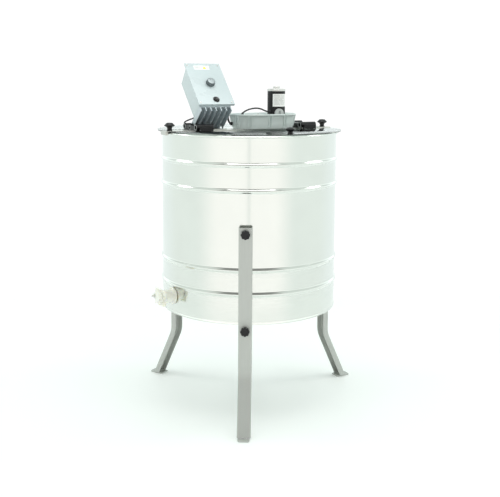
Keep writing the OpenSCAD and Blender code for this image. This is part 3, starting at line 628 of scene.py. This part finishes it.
def leg(node, angle):
    """A channel with rounded folds that follows the leg's bend down to its foot."""
    w, d, t = LEG_HALF_W, LEG_DEPTH, LEG_SHEET
    outline = [(-w, 0), (-w, d), (w, d), (w, 0), (w - t, 0), (w - t, d - t), (t - w, d - t), (t - w, 0)]
    section = rounded(outline, [0.8, 4.5, 4.5, 0.8, 0.8, 2, 2, 0.8], 5)
    bend_x = LEG_OUT + LEG_BEND_R
    bend_z = LEG_BEND_Z + LEG_BEND_R * math.tan(LEG_SPLAY / 2)
    rings = []
    for z in (LEG_TOP, LEG_TOP - 1, 500, 340, bend_z):
        rings.append([(LEG_OUT - d + v, u, z) for u, v in section])
    for k in range(1, 13):
        turn = LEG_SPLAY * k / 12
        rings.append([(bend_x - (LEG_BEND_R + d - v) * math.cos(turn), u,
                       bend_z - (LEG_BEND_R + d - v) * math.sin(turn)) for u, v in section])
    foot = []
    for x, y, z in rings[-1]:
        foot.append((x + (z - FOOT_T) * math.tan(LEG_SPLAY), y, FOOT_T))
    rings.append(foot)
    obj = make("show_" + node, *loft(rings), "leg_steel", Matrix.Rotation(angle, 4, "Z"), 30)
    piece(obj, STAND, "leg_steel", node)


def foot_welds():
    """Fillet welds where each channel stands on its plate."""
    random.seed(11)
    pile = Pile()
    reach = (FOOT_T - LEG_BEND_Z) * -math.tan(LEG_SPLAY)
    outer = LEG_OUT + reach
    run = [Vector((outer - LEG_DEPTH + 1, -LEG_HALF_W + 3, 0)), Vector((outer - 1.5, -LEG_HALF_W + 3, 0)),
           Vector((outer + 0.5, -LEG_HALF_W + 5, 0)), Vector((outer + 0.5, LEG_HALF_W - 5, 0)),
           Vector((outer - 1.5, LEG_HALF_W - 3, 0)), Vector((outer - LEG_DEPTH + 1, LEG_HALF_W - 3, 0))]
    path = []
    for a, b in zip(run, run[1:]):
        steps = max(1, round((b - a).length / 1.6))
        path += [a.lerp(b, k / steps) + Z_AXIS * (FOOT_T + 0.2) for k in range(steps)]
    radii = [random.uniform(1.5, 2.1) for _ in path]
    for angle in LEG_ANGLES:
        pile.add(*tube(path, radii, 8), Matrix.Rotation(angle, 4, "Z"))
    piece(pile.make("foot_welds", "bearing_steel", 80), STAND, "leg_steel")


def star_knob():
    """An eight-lobed knob that stands on z = 0, with a dished middle."""
    segments = 96
    lobes = 8
    lobed = [13.1 + 2.9 * abs(math.cos(lobes / 2 * 2 * math.pi * k / segments)) ** 0.7
             for k in range(segments)]
    levels = [(9.5, 0, 0), (9.5, 0, 4.2), (0, 0.92, 4.6), (0, 1, 5.6), (0, 1, 12.6), (0, 0.975, 14.6),
              (0, 0.90, 16.1), (0, 0.78, 16.9), (8.6, 0, 17.0), (7.9, 0, 16.5), (7.2, 0, 15.4), (2, 0, 15.2)]
    return loft([turned([r + share * lobe for lobe in lobed], z) for r, share, z in levels])


def leg_knobs():
    pile = Pile()
    for angle in LEG_ANGLES:
        for z in KNOB_ZS:
            pile.add(*star_knob(), leg_frame(angle, z) @ Matrix.Translation((0, 0, 0.2)))
    show(pile, "leg_knobs", "knob_black")


# ---- Crossbar, clamps and hinges ----

def mushroom(stem_r, stem_h, cap_r, top):
    """A turned knob with a waisted stem and a shallow dome, standing on z = 0."""
    neck = stem_r * 0.8
    side = ([(0, 0), (stem_r, 0), (stem_r, 1.5)] + arc(stem_r + 3, stem_h * 0.5, 4.5, 205, 150, 8)
            + [(neck + 3, stem_h), (cap_r * 0.86, stem_h + 2.4)]
            + arc(cap_r - 2.4, stem_h + 5.2, 2.4, -60, 70, 8)
            + [(cap_r * 0.55, top - 0.9), (cap_r * 0.3, top - 0.2), (0, top)])
    return lathe(rounded(side, 0.7, 3, False), 72, False)


def clamp_knobs():
    pile = Pile()
    for s in (-1, 1):
        pile.add(*mushroom(9.5, 13, 18.5, 28), at(s * CLAMP_X, 0, BAR_TOP))
    show(pile, "clamp_knobs", "knob_black", 50)


def lid_knob(node, body):
    low, high = box(node)
    middle = (low + high) / 2
    washer = LID_LOW.z - 5
    pile = Pile()
    pile.add(*mushroom(10, 10, 15.9, 21.8), at(middle.x, middle.y, LID_HIGH.z + 0.05))
    side = rounded(rect(0, washer, 7, LID_LOW.z - 0.1), 0.8, 3, False)
    pile.add(*lathe(side, 48, False), at(middle.x, middle.y, 0))
    show(pile, node, "knob_black", 50, body)


def hinge_screws():
    """Cap screws in the hinge blocks' pockets."""
    pile = Pile()
    for x in HINGE_XS:
        for dx in (-14, 14):
            for dy in (-18, 18):
                pile.add(*hex_screw(4.3, 3.6, 2), at(x + dx, dy, BAR_TOP + 13.02))
    piece(pile.make("hinge_screws", "bright_steel"), STAND, "bright_steel")


def hinge_end_highlights():
    """Lighter grey rings round the hollow ends of the hinge blocks: a painted highlight, for light reflected
    off the ends.
    """
    half_l = HINGE_XS[0] - box("hinge_blocks")[0].x
    thick = 0.2
    holes = ((-HINGE_Y, HINGE_Z, 7.4, 10.2), (HINGE_Y, HINGE_Z, 7.4, 10.2), (0, HINGE_CORE_Z, 5.8, 7.6))
    pile = Pile()
    for x in HINGE_XS:
        for end in (x - half_l - thick, x + half_l):
            for y, z, inner, outer in holes:
                pile.add(*lathe(rect(inner, 0, outer, thick), 48), at(end, y, z, True))
    piece(pile.make("hinge_end_highlights", "cut_metal"), STAND, "bearing_steel")


def leaf_screws(body, s):
    """Cap screws through a lid's hinge leaves."""
    y, z = s * (HINGE_Y + 18.2), LID_HIGH.z + LEAF_T - 3.94
    pile = Pile()
    for x in HINGE_XS:
        for dx in (-19, 19):
            pile.add(*hex_screw(3.1, 2.6, 1.5), at(x + dx, y, z))
    piece(pile.make(body + "_screws", "bright_steel"), body, "bright_steel")


# ---- Lids ----

def lid_outline():
    """The front lid from above, with its window for the drive."""
    low, high = box("lid_fillers")
    gap = 2
    left, right, front = low.x - gap, high.x + gap, low.y - gap
    start = math.degrees(math.asin(LID_EDGE_Y / LID_R))
    edge = arc(0, 0, LID_R, 180 + start, 360 - start, 150)
    return edge + [(right, -LID_EDGE_Y), (right, front), (left, front), (left, -LID_EDGE_Y)]


def lid(node, body, flip):
    outline = [(x, flip * y) for x, y in lid_outline()]
    verts, faces = plate(outline, LID_LOW.z, LID_HIGH.z, 0.5)
    obj = make("show_" + node, verts, faces, "clear_acrylic", None, 25)
    low, high = box(node + "_knob")
    middle = (low + high) / 2
    bore = lathe(rect(0, -3, 3.1, 9), 32, False)
    cut(obj, [(*bore, at(middle.x, middle.y, LID_LOW.z))])
    piece(obj, body, "clear_acrylic", node)


# ---- Drive ----

def drive_housing():
    """A drafted casting with a flared lip."""
    low, high, lip = HOUSING_LOW.z, HOUSING_HIGH.z, HOUSING_LIP_R
    levels = [(57, low), (59.2, low + 0.7), (60.3, low + 3), (62.8, low + 22), (65.2, high - 12),
              (66.6, high - 9), (69.5, high - 6.8), (72, high - 5.6), (lip, high - 4.6), (lip, high - 0.7),
              (lip - 0.7, high), (69.6, high), (69, high - 0.6), (69, high - 3), (62.6, high - 3.4),
              (62.2, high - 5), (57, low + 6), (55, low + 4)]
    rings = [[(*p, z) for p in slot_outline(r, MOTOR_X, 48)] for r, z in levels]
    obj = make("show_drive_housing", *loft(rings), "cast_grey", smooth=40)
    bore = lathe(rect(0, -3, 14.5, 9), 40, False)
    cut(obj, [(*bore, at(0, 0, low))])
    piece(obj, STAND, "cast_grey", "drive_housing")


def housing_ribs():
    """Pairs of upright ribs below the housing's lip."""
    low, high = HOUSING_LOW.z, HOUSING_HIGH.z
    half_w, edge_w, ease, apart = 1.5, 0.9, 0.6, 5.2
    levels = ((58, 61.2, low + 6), (60, 66.0, low + 16), (62, 71.0, high - 12), (64, 72.4, high - 5.2))
    pile = Pile()
    half_ring = [(160, 0), (116, 0), (90, 50), (90, MOTOR_X), (30, MOTOR_X)]
    for degrees, x in half_ring + [(-a, x) for a, x in half_ring]:
        angle = math.radians(degrees)
        out = Vector((math.cos(angle), math.sin(angle), 0))
        side = Vector((-out.y, out.x, 0))
        for shift in (-apart, apart):
            rings = []
            for inner, outer, z in levels:
                section = ((inner, -half_w), (outer - ease, -half_w), (outer, -edge_w), (outer, edge_w),
                           (outer - ease, half_w), (inner, half_w))
                rings.append([Vector((x, 0, z)) + out * r + side * (shift + w) for r, w in section])
            pile.add(*loft(rings))
    piece(pile.make("housing_ribs", "cast_grey", 40), STAND, "cast_grey")


def cover_screws():
    pile = Pile()
    top = box("housing_cover")[0].z + 3.05
    for x in (-30, 60):
        for s in (-1, 1):
            pile.add(*hex_screw(4.5, 2.5, 2), at(x, s * 46, top))
    inset = 9
    for s in (-1, 1):
        for y in (inset, PANEL_L - inset):
            spot = Matrix.Translation((s * (PANEL_W / 2 - inset), y, PANEL_T + 0.05))
            pile.add(*hex_screw(3.6, 1.8, 1.6), PANEL @ spot)
    show(pile, "cover_screws", "bright_steel")


def motor_can():
    low, high = MOTOR_LOW.z, MOTOR_HIGH.z
    profile = rounded([(9, low), (MOTOR_R - 1, low), (MOTOR_R, low + 1), (MOTOR_R, low + 7),
                       (MOTOR_R - 0.5, low + 7.6), (MOTOR_R - 0.5, low + 8.4), (MOTOR_R, low + 9),
                       (MOTOR_R, high), (MOTOR_R - 3, high), (MOTOR_R - 3, low + 5), (9, low + 5)], 0.4, 2)
    obj = make("show_motor_can", *lathe(profile, 128), "motor_black", at(MOTOR_X, 0, 0))
    piece(obj, STAND, "motor_black", "motor_can")


def motor_end_cap():
    """A die-cast bell with its bearing boss, two through bolts and vents."""
    z = MOTOR_TOP
    rim = MOTOR_R + 0.8
    side = [(rim - 5, z), (rim, z), (rim, z + 7), (rim - 1.6, z + 8.4), (20, z + 9), (13.6, z + 9.2),
            (13, z + 10), (13, z + 16.6), (12, z + 17.9), (7, z + 18), (6, z + 16.8), (0, z + 16.8),
            (0, z + 7), (9, z + 7), (9, z)]
    radii = [0.3, 0.4, 1, 1.2, 0, 0.5, 0.5, 0.8, 0.8, 0.4, 0.3, 0, 0, 0.3, 0.3]
    pile = Pile().add(*lathe(rounded(side, radii, 3), 128), at(MOTOR_X, 0, 0))
    for angle in (35, 215):
        turn = math.radians(angle)
        spot = at(MOTOR_X + 24 * math.cos(turn), 24 * math.sin(turn), z + 8.6)
        pile.add(*hex_screw(3.6, 1.0, 1.5), spot)
    show(pile, "motor_end_cap", "motor_alloy")


def curved_patch(radius, thick, a0, a1, z0, z1, steps=24):
    """A thin patch on an upright cylinder, between two angles and two heights."""
    rings = []
    for k in range(steps + 1):
        turn = math.radians(a0 + (a1 - a0) * k / steps)
        out = Vector((math.cos(turn), math.sin(turn), 0))
        rings.append([out * radius + Z_AXIS * z0, out * (radius + thick) + Z_AXIS * z0,
                      out * (radius + thick) + Z_AXIS * z1, out * radius + Z_AXIS * z1])
    return loft(rings)


def motor_label():
    """A rating plate with plain bars in place of its print."""
    low, high = 1075, 1121
    bars, pitch, bar_h = 8, 4.4, 1.1
    pile = Pile()
    here = at(MOTOR_X, 0, 0)
    pile.add(*curved_patch(MOTOR_R - 0.05, 0.25, -143, -30, low, high, 40), here, 0)
    random.seed(8)
    for i in range(bars):
        z = high - 7 - i * pitch
        start = -135 + random.uniform(0, 4)
        for _ in range(2):
            length = random.uniform(22, 40)
            pile.add(*curved_patch(MOTOR_R + 0.12, 0.16, start, start + length, z, z + bar_h, 12), here, 1)
            start += length + random.uniform(4, 8)
    piece(pile.make("motor_label", ["label_white", "label_grey"]), STAND, "white_plastic")


# ---- Cables ----

# The same points as the CAD model's cables, in millimetres
MOTOR_CABLE = [(-40, -20, 1048.2), (-38, -20, 1053), (-30, -20, 1059), (-16, -20, 1065), (2, -20, 1069),
               (20, -19, 1070), (38, -18, 1067), (54, -16, 1061), (68, -13, 1057), (80, -9, 1056)]
SUPPLY_CABLE = [(-105.8, -9, 1059), (-98, -8, 1057), (-91, -4, 1050), (-86, 2, 1041),
                (-82, 8, 1031), (-77, 12, 1022), (-71, 14, 1016), (-65, 15, 1014)]
SENSOR_CABLE = [(-215, -3.5, 1044.4), (-217, 0, 1041), (-222, 5, 1037), (-231, 10, 1033), (-241, 13, 1029),
                (-249, 13, 1025), (-253, 9, 1022), (-250, 5, 1019), (-243, 2, 1018), (-235, 1, 1017),
                (-227, 1, 1015), (-221, 1, 1013)]


def boot(start, ahead, radius, length):
    """A tapered strain relief with ribs, from start along the cable."""
    rings = 18
    path = [Vector(start) + (Vector(ahead) - Vector(start)).normalized() * length * k / rings
            for k in range(rings + 1)]
    radii = [radius * (2.0 - 0.85 * k / rings - (0.16 if k % 4 == 2 else 0)) for k in range(rings + 1)]
    return tube(path, radii, 20)


def motor_cable():
    pile = Pile().add(*tube(smooth_path(MOTOR_CABLE), 2.8, 16))
    pile.add(*boot(MOTOR_CABLE[-1], MOTOR_CABLE[-2], 2.8, 9))
    pile.add(*boot(MOTOR_CABLE[0], MOTOR_CABLE[1], 2.8, 8))
    show(pile, "motor_cable", "cable_black", 50)


def control_cables():
    pile = Pile()
    for route, r in ((SUPPLY_CABLE, 3.5), (SENSOR_CABLE, 2.5)):
        pile.add(*tube(smooth_path(route), r, 16))
        pile.add(*boot(route[0], route[1], r, 8))
        pile.add(*boot(route[-1], route[-2], r, 8))
    show(pile, "control_cables", "cable_black", 50)


# ---- Controller ----

def speed_knob():
    """A knurled knob with a bright disc and a pointer line."""
    segments = 192
    ribs = 32
    knurl = [1 + 0.028 * math.cos(ribs * 2 * math.pi * k / segments) for k in range(segments)]
    levels = [(12, 0, 0), (15.2, 0.2, 0), (15.8, 1.0, 1), (15.4, 8.0, 1), (14.7, 9.3, 0), (14.1, 9.8, 0),
              (14, 13.0, 0), (13.4, 13.8, 0), (12.6, 14.0, 0), (12.4, 13.7, 0)]
    rings = [turned([r * scale for scale in (knurl if cut_in else [1] * segments)], z)
             for r, z, cut_in in levels]
    here = PANEL @ Matrix.Translation((*KNOB_AT, PANEL_T + 0.3))
    pile = Pile().add(*loft(rings), here, 0)
    disc = [(0, 13.5), (12.3, 13.5), (12.3, 13.8), (11.8, 14.0), (3.4, 13.8), (0, 13.8)]
    pile.add(*lathe(disc, 96, False), here, 1)
    pointer = here @ Matrix.Rotation(math.radians(20), 4, "Z")
    pile.add(*plate(rect(-0.6, 4, 0.6, 12), 13.7, 14.0, 0.1), pointer, 2)
    obj = pile.make("show_speed_knob", ["dial_grey", "dial_cap", "knob_black"], 30)
    piece(obj, "speed_knob", "dial_grey", "speed_knob")


def dial_marks():
    """Plain ticks round the speed knob, from its low stop to its high stop."""
    pile = Pile()
    for k in range(11):
        turn = math.radians(225 - 27 * k)
        long = 3.4 if k % 5 == 0 else 2.0
        spot = PANEL @ Matrix.Translation((*KNOB_AT, PANEL_T)) @ Matrix.Rotation(turn, 4, "Z")
        pile.add(*plate(rect(19, -0.4, 19 + long, 0.4), -0.05, 0.12, 0.05), spot)
    piece(pile.make("dial_marks", "label_grey"), STAND, "controller_grey")


def stop_button():
    """A dished push button, with the bezel that it slides in."""
    here = PANEL @ Matrix.Translation((*BUTTON_AT, 0))
    top = PANEL_T + 5.5
    side = [(0, -9), (4, -9), (4, -3.5), (9.3, -3.5), (9.3, PANEL_T + 4), (8.6, top - 0.4), (7.6, top),
            (4, top - 0.7), (0, top - 1)]
    obj = make("show_stop_button", *lathe(rounded(side, 0.5, 3, False), 72, False), "button_black", here, 50)
    piece(obj, "stop_button", "button_black", "stop_button")
    base = PANEL_T + 0.02
    ring = rounded([(9.7, base), (12.4, base), (12, PANEL_T + 1.3), (9.7, PANEL_T + 1.6)], 0.4, 3)
    piece(make("button_bezel", *lathe(ring, 72), "button_black", here, 50), STAND, "button_black")


def panel_sticker():
    """A small plain sticker near the panel's upper edge, with a yellow spot."""
    pile = Pile()
    spot = PANEL @ Matrix.Translation((-7, 171.5, PANEL_T))
    pile.add(*plate(rounded(rect(-30, -9.5, 30, 9.5), 2, 4), -0.05, 0.12, 0.05), spot, 0)
    pile.add(*plate([(4, -6), (18, -6), (11, 6)], 0.1, 0.2, 0.04), spot, 1)
    for x, y, w in ((-25, 4, 16), (-25, 0, 22), (-25, -4, 12)):
        pile.add(*plate(rect(x, y, x + w, y + 1.6), 0.1, 0.2, 0.04), spot, 2)
    mats = ["label_white", "label_yellow", "label_grey"]
    piece(pile.make("panel_sticker", mats), STAND, "white_plastic")


# ---- Basket ----

def screen(node, angle):
    """A woven wire screen in a round-edged frame, on one side of the basket."""
    width, low, high = 394.0, 450.1, 929.9
    x_mid = 205.0
    pitch = 19.0
    wire = 1.1
    pile = Pile()
    frame_w = 8.0

    def bar(y0, y1, z0, z1):
        pile.add(*plate(rounded(rect(x_mid - 3, y0, x_mid + 3, y1), 1.2, 3), z0, z1, 0.6))

    half = width / 2
    bar(-half, -half + frame_w, low, high)
    bar(half - frame_w, half, low, high)
    bar(-half + frame_w, half - frame_w, low, low + frame_w)
    bar(-half + frame_w, half - frame_w, high - frame_w, high)
    across = int((width - frame_w) / pitch)
    up = int((high - low - frame_w) / pitch)
    y_first = -(across - 1) * pitch / 2
    z_first = (low + high) / 2 - (up - 1) * pitch / 2
    for i in range(across):
        y = y_first + i * pitch
        path = [Vector((x_mid, y, low + frame_w / 2))]
        path += [Vector((x_mid + wire * (-1) ** (i + j), y, z_first + j * pitch)) for j in range(up)]
        path.append(Vector((x_mid, y, high - frame_w / 2)))
        pile.add(*tube(smooth_path(path, 2), wire, 6))
    for j in range(up):
        z = z_first + j * pitch
        path = [Vector((x_mid, -half + frame_w / 2, z))]
        path += [Vector((x_mid - wire * (-1) ** (i + j), y_first + i * pitch, z)) for i in range(across)]
        path.append(Vector((x_mid, half - frame_w / 2, z)))
        pile.add(*tube(smooth_path(path, 2), wire, 6))
    obj = pile.make("show_" + node, "basket_steel", 50)
    obj.data.transform(Matrix.Rotation(angle, 4, "Z"))
    piece(obj, "basket", "basket_steel", node)


# ---- Gate ----

def gate_bolts():
    """Two bolts through the seat. The far one has a cap nut, and the blade turns on it."""
    pile = Pile()
    seat_t, blade_t = 7, 5
    head_r, shank_r = 4.9, 2.95
    head_low, head_high = GATE_SEAT_R - 3.4, GATE_SEAT_R - 0.3
    tip = GATE_SEAT_R + 23.8
    side = [(0, head_low), (head_r, head_low), (head_r, head_high), (shank_r, head_high),
            (shank_r, tip - 1), (2, tip), (0, tip)]
    base = GATE_SEAT_R + seat_t + blade_t + 0.6
    cap = [(3, base), (5.9, base), (5.9, base + 4), (5.4, base + 5.4), (3.6, base + 7.2), (3, base + 7.3)]
    for s in (-1, 1):
        spot = GATE @ at(0, 0, s * GATE_BOLT_AT, True)
        pile.add(*lathe(rounded(side, 0.3, 2, False), 40, False), spot)
        if s > 0:
            pile.add(*lathe(rounded(cap, 0.3, 2), 40), spot)
    show(pile, "gate_bolts", "bright_steel")


# ---- Stage, light and camera ----

CAMERA_AT = Vector((-1.4805, -2.7553, 1.1916))
CAMERA_TURN = math.radians(-28.25)
CAMERA_PITCH = math.radians(90 - 7.024)
CAMERA_ROLL = math.radians(0.33)
CAMERA_LENS = 61.925
CAMERA_SHIFT = (0.00197, -0.1365)
SURROUND_STRENGTH = 1.6
BACKDROP_STRENGTH = 1.05
FLOOR_GLOW = 0.11
OVERHEAD_W = 17
SOFTBOX_W = 6
SOFTBOX_AZIMUTH = 104


def camera():
    data = bpy.data.cameras.new("camera")
    data.sensor_width = 36
    data.lens = CAMERA_LENS
    data.shift_x, data.shift_y = CAMERA_SHIFT
    obj = bpy.data.objects.new("camera", data)
    obj.matrix_world = (Matrix.Translation(CAMERA_AT) @ Matrix.Rotation(CAMERA_TURN, 4, "Z")
                        @ Matrix.Rotation(CAMERA_PITCH, 4, "X") @ Matrix.Rotation(CAMERA_ROLL, 4, "Z"))
    bpy.context.scene.collection.objects.link(obj)
    bpy.context.scene.camera = obj


def ramp(nodes, stops):
    """A colour ramp with stops of (position, colour)."""
    node = nodes.new("ShaderNodeValToRGB")
    node.color_ramp.interpolation = "EASE"
    for i, (position, color) in enumerate(stops):
        stop = node.color_ramp.elements[i] if i < 2 else node.color_ramp.elements.new(position)
        stop.position = position
        stop.color = (*color, 1)
    return node


def studio():
    """A bright surround whose ceiling is dimmest towards the camera. Its sides are a
    little greener, and a narrow dim gap faces the front of the drum."""
    world = bpy.data.worlds.new("studio")
    bpy.context.scene.world = world
    world.use_nodes = True
    nodes, links = world.node_tree.nodes, world.node_tree.links
    nodes.clear()
    coord = nodes.new("ShaderNodeTexCoord")
    turn = nodes.new("ShaderNodeMapping")
    socket(turn, "Rotation", (0, 0, -CAMERA_TURN))
    split = nodes.new("ShaderNodeSeparateXYZ")
    links.new(coord.outputs["Generated"], turn.inputs["Vector"])
    links.new(turn.outputs["Vector"], split.inputs["Vector"])
    # Angle round the drum, where 0.5 is straight towards the camera
    angle = nodes.new("ShaderNodeMath")
    angle.operation = "ARCTAN2"
    links.new(split.outputs["X"], angle.inputs[0])
    flip = nodes.new("ShaderNodeMath")
    flip.operation = "MULTIPLY"
    socket(flip, 1, -1)
    links.new(split.outputs["Y"], flip.inputs[0])
    links.new(flip.outputs["Value"], angle.inputs[1])
    share = map_range(nodes, -math.pi, math.pi)
    links.new(angle.outputs["Value"], share.inputs["Value"])
    white, side, gap = (1.0, 1.0, 0.975), (0.80, 0.86, 0.83), (0.76, 0.80, 0.77)
    far = (0.82, 0.885, 0.875)
    bands = ramp(nodes, [(0.0, far), (0.13, far), (0.20, side), (0.29, side), (0.40, white),
                         (0.494, white), (0.498, gap), (0.502, gap), (0.506, white), (0.59, white),
                         (0.68, side), (0.78, side), (0.87, far), (1.0, far)])
    links.new(share.outputs["Result"], bands.inputs["Fac"])
    level, bright = (0.74, 0.74, 0.74), (1, 1, 1)
    ceiling = nodes.new("ShaderNodeMix")
    ceiling.data_type = "RGBA"
    # The ceiling at the sides and back, and the ceiling towards the camera
    for name, top in (("A", (0.60, 0.61, 0.60)), ("B", (0.165, 0.17, 0.165))):
        rise = ramp(nodes, [(0.0, level), (0.04, level), (0.09, bright), (0.16, bright),
                            (0.45, top), (1.0, top)])
        links.new(split.outputs["Z"], rise.inputs["Fac"])
        links.new(rise.outputs["Color"], ceiling.inputs[name])
    apart, front = (0, 0, 0), (1, 1, 1)
    facing = ramp(nodes, [(0.0, apart), (0.32, apart), (0.40, front), (0.60, front),
                          (0.68, apart), (1.0, apart)])
    links.new(share.outputs["Result"], facing.inputs["Fac"])
    links.new(facing.outputs["Color"], ceiling.inputs["Factor"])
    both = nodes.new("ShaderNodeMix")
    both.data_type = "RGBA"
    both.blend_type = "MULTIPLY"
    socket(both, "Factor", 1)
    links.new(bands.outputs["Color"], both.inputs["A"])
    links.new(ceiling.outputs["Result"], both.inputs["B"])
    surround = nodes.new("ShaderNodeBackground")
    socket(surround, "Strength", SURROUND_STRENGTH)
    links.new(both.outputs["Result"], surround.inputs["Color"])
    backdrop = nodes.new("ShaderNodeBackground")
    socket(backdrop, "Color", (1, 1, 1, 1))
    socket(backdrop, "Strength", BACKDROP_STRENGTH)
    path = nodes.new("ShaderNodeLightPath")
    choose = nodes.new("ShaderNodeMixShader")
    links.new(path.outputs["Is Camera Ray"], choose.inputs["Fac"])
    links.new(surround.outputs["Background"], choose.inputs[1])
    links.new(backdrop.outputs["Background"], choose.inputs[2])
    out = nodes.new("ShaderNodeOutputWorld")
    links.new(choose.outputs["Shader"], out.inputs["Surface"])


def softbox(name, azimuth):
    """A square light aimed at the drum; azimuth is from the camera, to the right."""
    elevation, distance, size = 42, 2.3, 0.6
    turn = CAMERA_TURN + math.radians(azimuth)
    rise = math.radians(elevation)
    out = Vector((math.sin(turn) * math.cos(rise), -math.cos(turn) * math.cos(rise), math.sin(rise)))
    aim = out.to_track_quat("Z", "Y").to_matrix().to_4x4()
    area_light(name, (size, size), SOFTBOX_W,
               Matrix.Translation(Vector((0, 0, 0.6)) + out * distance) @ aim)


def area_light(name, size, watts, transform):
    data = bpy.data.lights.new(name, "AREA")
    data.shape = "RECTANGLE"
    data.size, data.size_y = size
    data.energy = watts
    obj = bpy.data.objects.new(name, data)
    obj.matrix_world = transform
    bpy.context.scene.collection.objects.link(obj)


def overhead():
    """A wide light above the front of the drum, square to the camera's direction."""
    square = Matrix.Rotation(CAMERA_TURN, 4, "Z")
    area_light("overhead", (1.6, 1.2), OVERHEAD_W, square @ Matrix.Translation((0.1, -0.5, 2.6)))


def floor():
    """A pale round floor that fades out well away from the object."""
    radius, fade_from = 2.4, 0.7
    bpy.ops.mesh.primitive_circle_add(vertices=96, radius=radius, fill_type="NGON")
    obj = bpy.context.object
    obj.name = "floor"
    mat = bpy.data.materials.new("floor")
    mat.use_nodes = True
    nodes, links = mat.node_tree.nodes, mat.node_tree.links
    shader = nodes["Principled BSDF"]
    socket(shader, "Base Color", (0.93, 0.96, 0.945, 1))
    socket(shader, "Roughness", 0.55)
    socket(shader, "Emission Color", (1, 1, 1, 1))
    socket(shader, "Emission Strength", FLOOR_GLOW)
    coord = nodes.new("ShaderNodeTexCoord")
    length = nodes.new("ShaderNodeVectorMath")
    length.operation = "LENGTH"
    fade = map_range(nodes, fade_from, radius, 1, 0)
    fade.interpolation_type = "SMOOTHSTEP"
    links.new(coord.outputs["Object"], length.inputs[0])
    links.new(length.outputs["Value"], fade.inputs["Value"])
    links.new(fade.outputs["Result"], shader.inputs["Alpha"])
    obj.data.materials.append(mat)


# ---- Assembly ----

camera()
studio()
softbox("softbox_left", -SOFTBOX_AZIMUTH)
softbox("softbox_right", SOFTBOX_AZIMUTH)
overhead()
floor()

drum_wall()
drum_seam()
for node, angle in zip(("leg_right", "leg_rear", "leg_front"), LEG_ANGLES):
    leg(node, angle)
foot_welds()
leg_knobs()
clamp_knobs()
hinge_screws()
hinge_end_highlights()
for body, s in (("front_lid", -1), ("rear_lid", 1)):
    lid(body, body, -s)
    lid_knob(body + "_knob", body)
    leaf_screws(body, s)
drive_housing()
housing_ribs()
cover_screws()
motor_can()
motor_end_cap()
motor_label()
motor_cable()
control_cables()
speed_knob()
dial_marks()
stop_button()
panel_sticker()
for i, node in enumerate(("screen_right", "screen_rear", "screen_left", "screen_front")):
    screen(node, i * math.pi / 2)
gate_bolts()

# Nodes whose CAD shape only needs eased edges: finish and edge radius in millimetres
EASED = {
    "drum_bottom": ("drum_steel", 0.4), "foot_plates": ("leg_steel", 0.8),
    "leg_brackets": ("leg_steel", 0.6), "leg_studs": ("bright_steel", 0.4),
    "crossbar": ("brushed_steel", 1.0), "crossbar_pads": ("black_rubber", 0.4),
    "clamp_blocks": ("knob_black", 0.8), "clamp_bolts": ("bright_steel", 0.4),
    "hinge_blocks": ("hinge_black", 0.9), "hinge_pins": ("bright_steel", 0.4),
    "front_lid_leaves": ("hinge_black", 0.8), "rear_lid_leaves": ("hinge_black", 0.8),
    "lid_fillers": ("clear_acrylic", 0.4), "top_bearing": ("bearing_steel", 0.6),
    "bottom_bearing": ("bearing_steel", 0.6), "basket_shaft": ("basket_steel", 0.8),
    "basket_bottom_frame": ("basket_steel", 0.6), "basket_top_frame": ("basket_steel", 0.6),
    "basket_posts": ("basket_steel", 0.6), "large_pulley": ("pulley_aluminium", 0.4),
    "drive_belt": ("black_rubber", 0.3), "motor_pulley": ("pulley_aluminium", 0.3),
    "motor_shaft": ("bright_steel", 0.4), "motor_armature": ("motor_iron", 0.6),
    "motor_terminal_cover": ("white_plastic", 0.7), "housing_cover": ("cover_grey", 0.6),
    "controller_box": ("controller_grey", 1.4), "heat_sink": ("heat_sink_grey", 0.4),
    "controller_stand": ("brushed_steel", 0.5), "control_panel": ("controller_grey", 1.1),
    "circuit_board": ("board_green", 0.2), "potentiometer": ("bright_steel", 0.3),
    "gate_spigot": ("gate_ivory", 0.6), "gate_nut": ("gate_ivory", 0.8),
    "gate_body": ("gate_ivory", 1.2), "gate_blade": ("gate_ivory", 1.0),
    "gate_wing_nut": ("gate_ivory", 1.0),
}
for node, (slot_name, edge) in EASED.items():
    dress(node, slot_name, edge)

bpy.context.scene.view_settings.view_transform = "Standard"
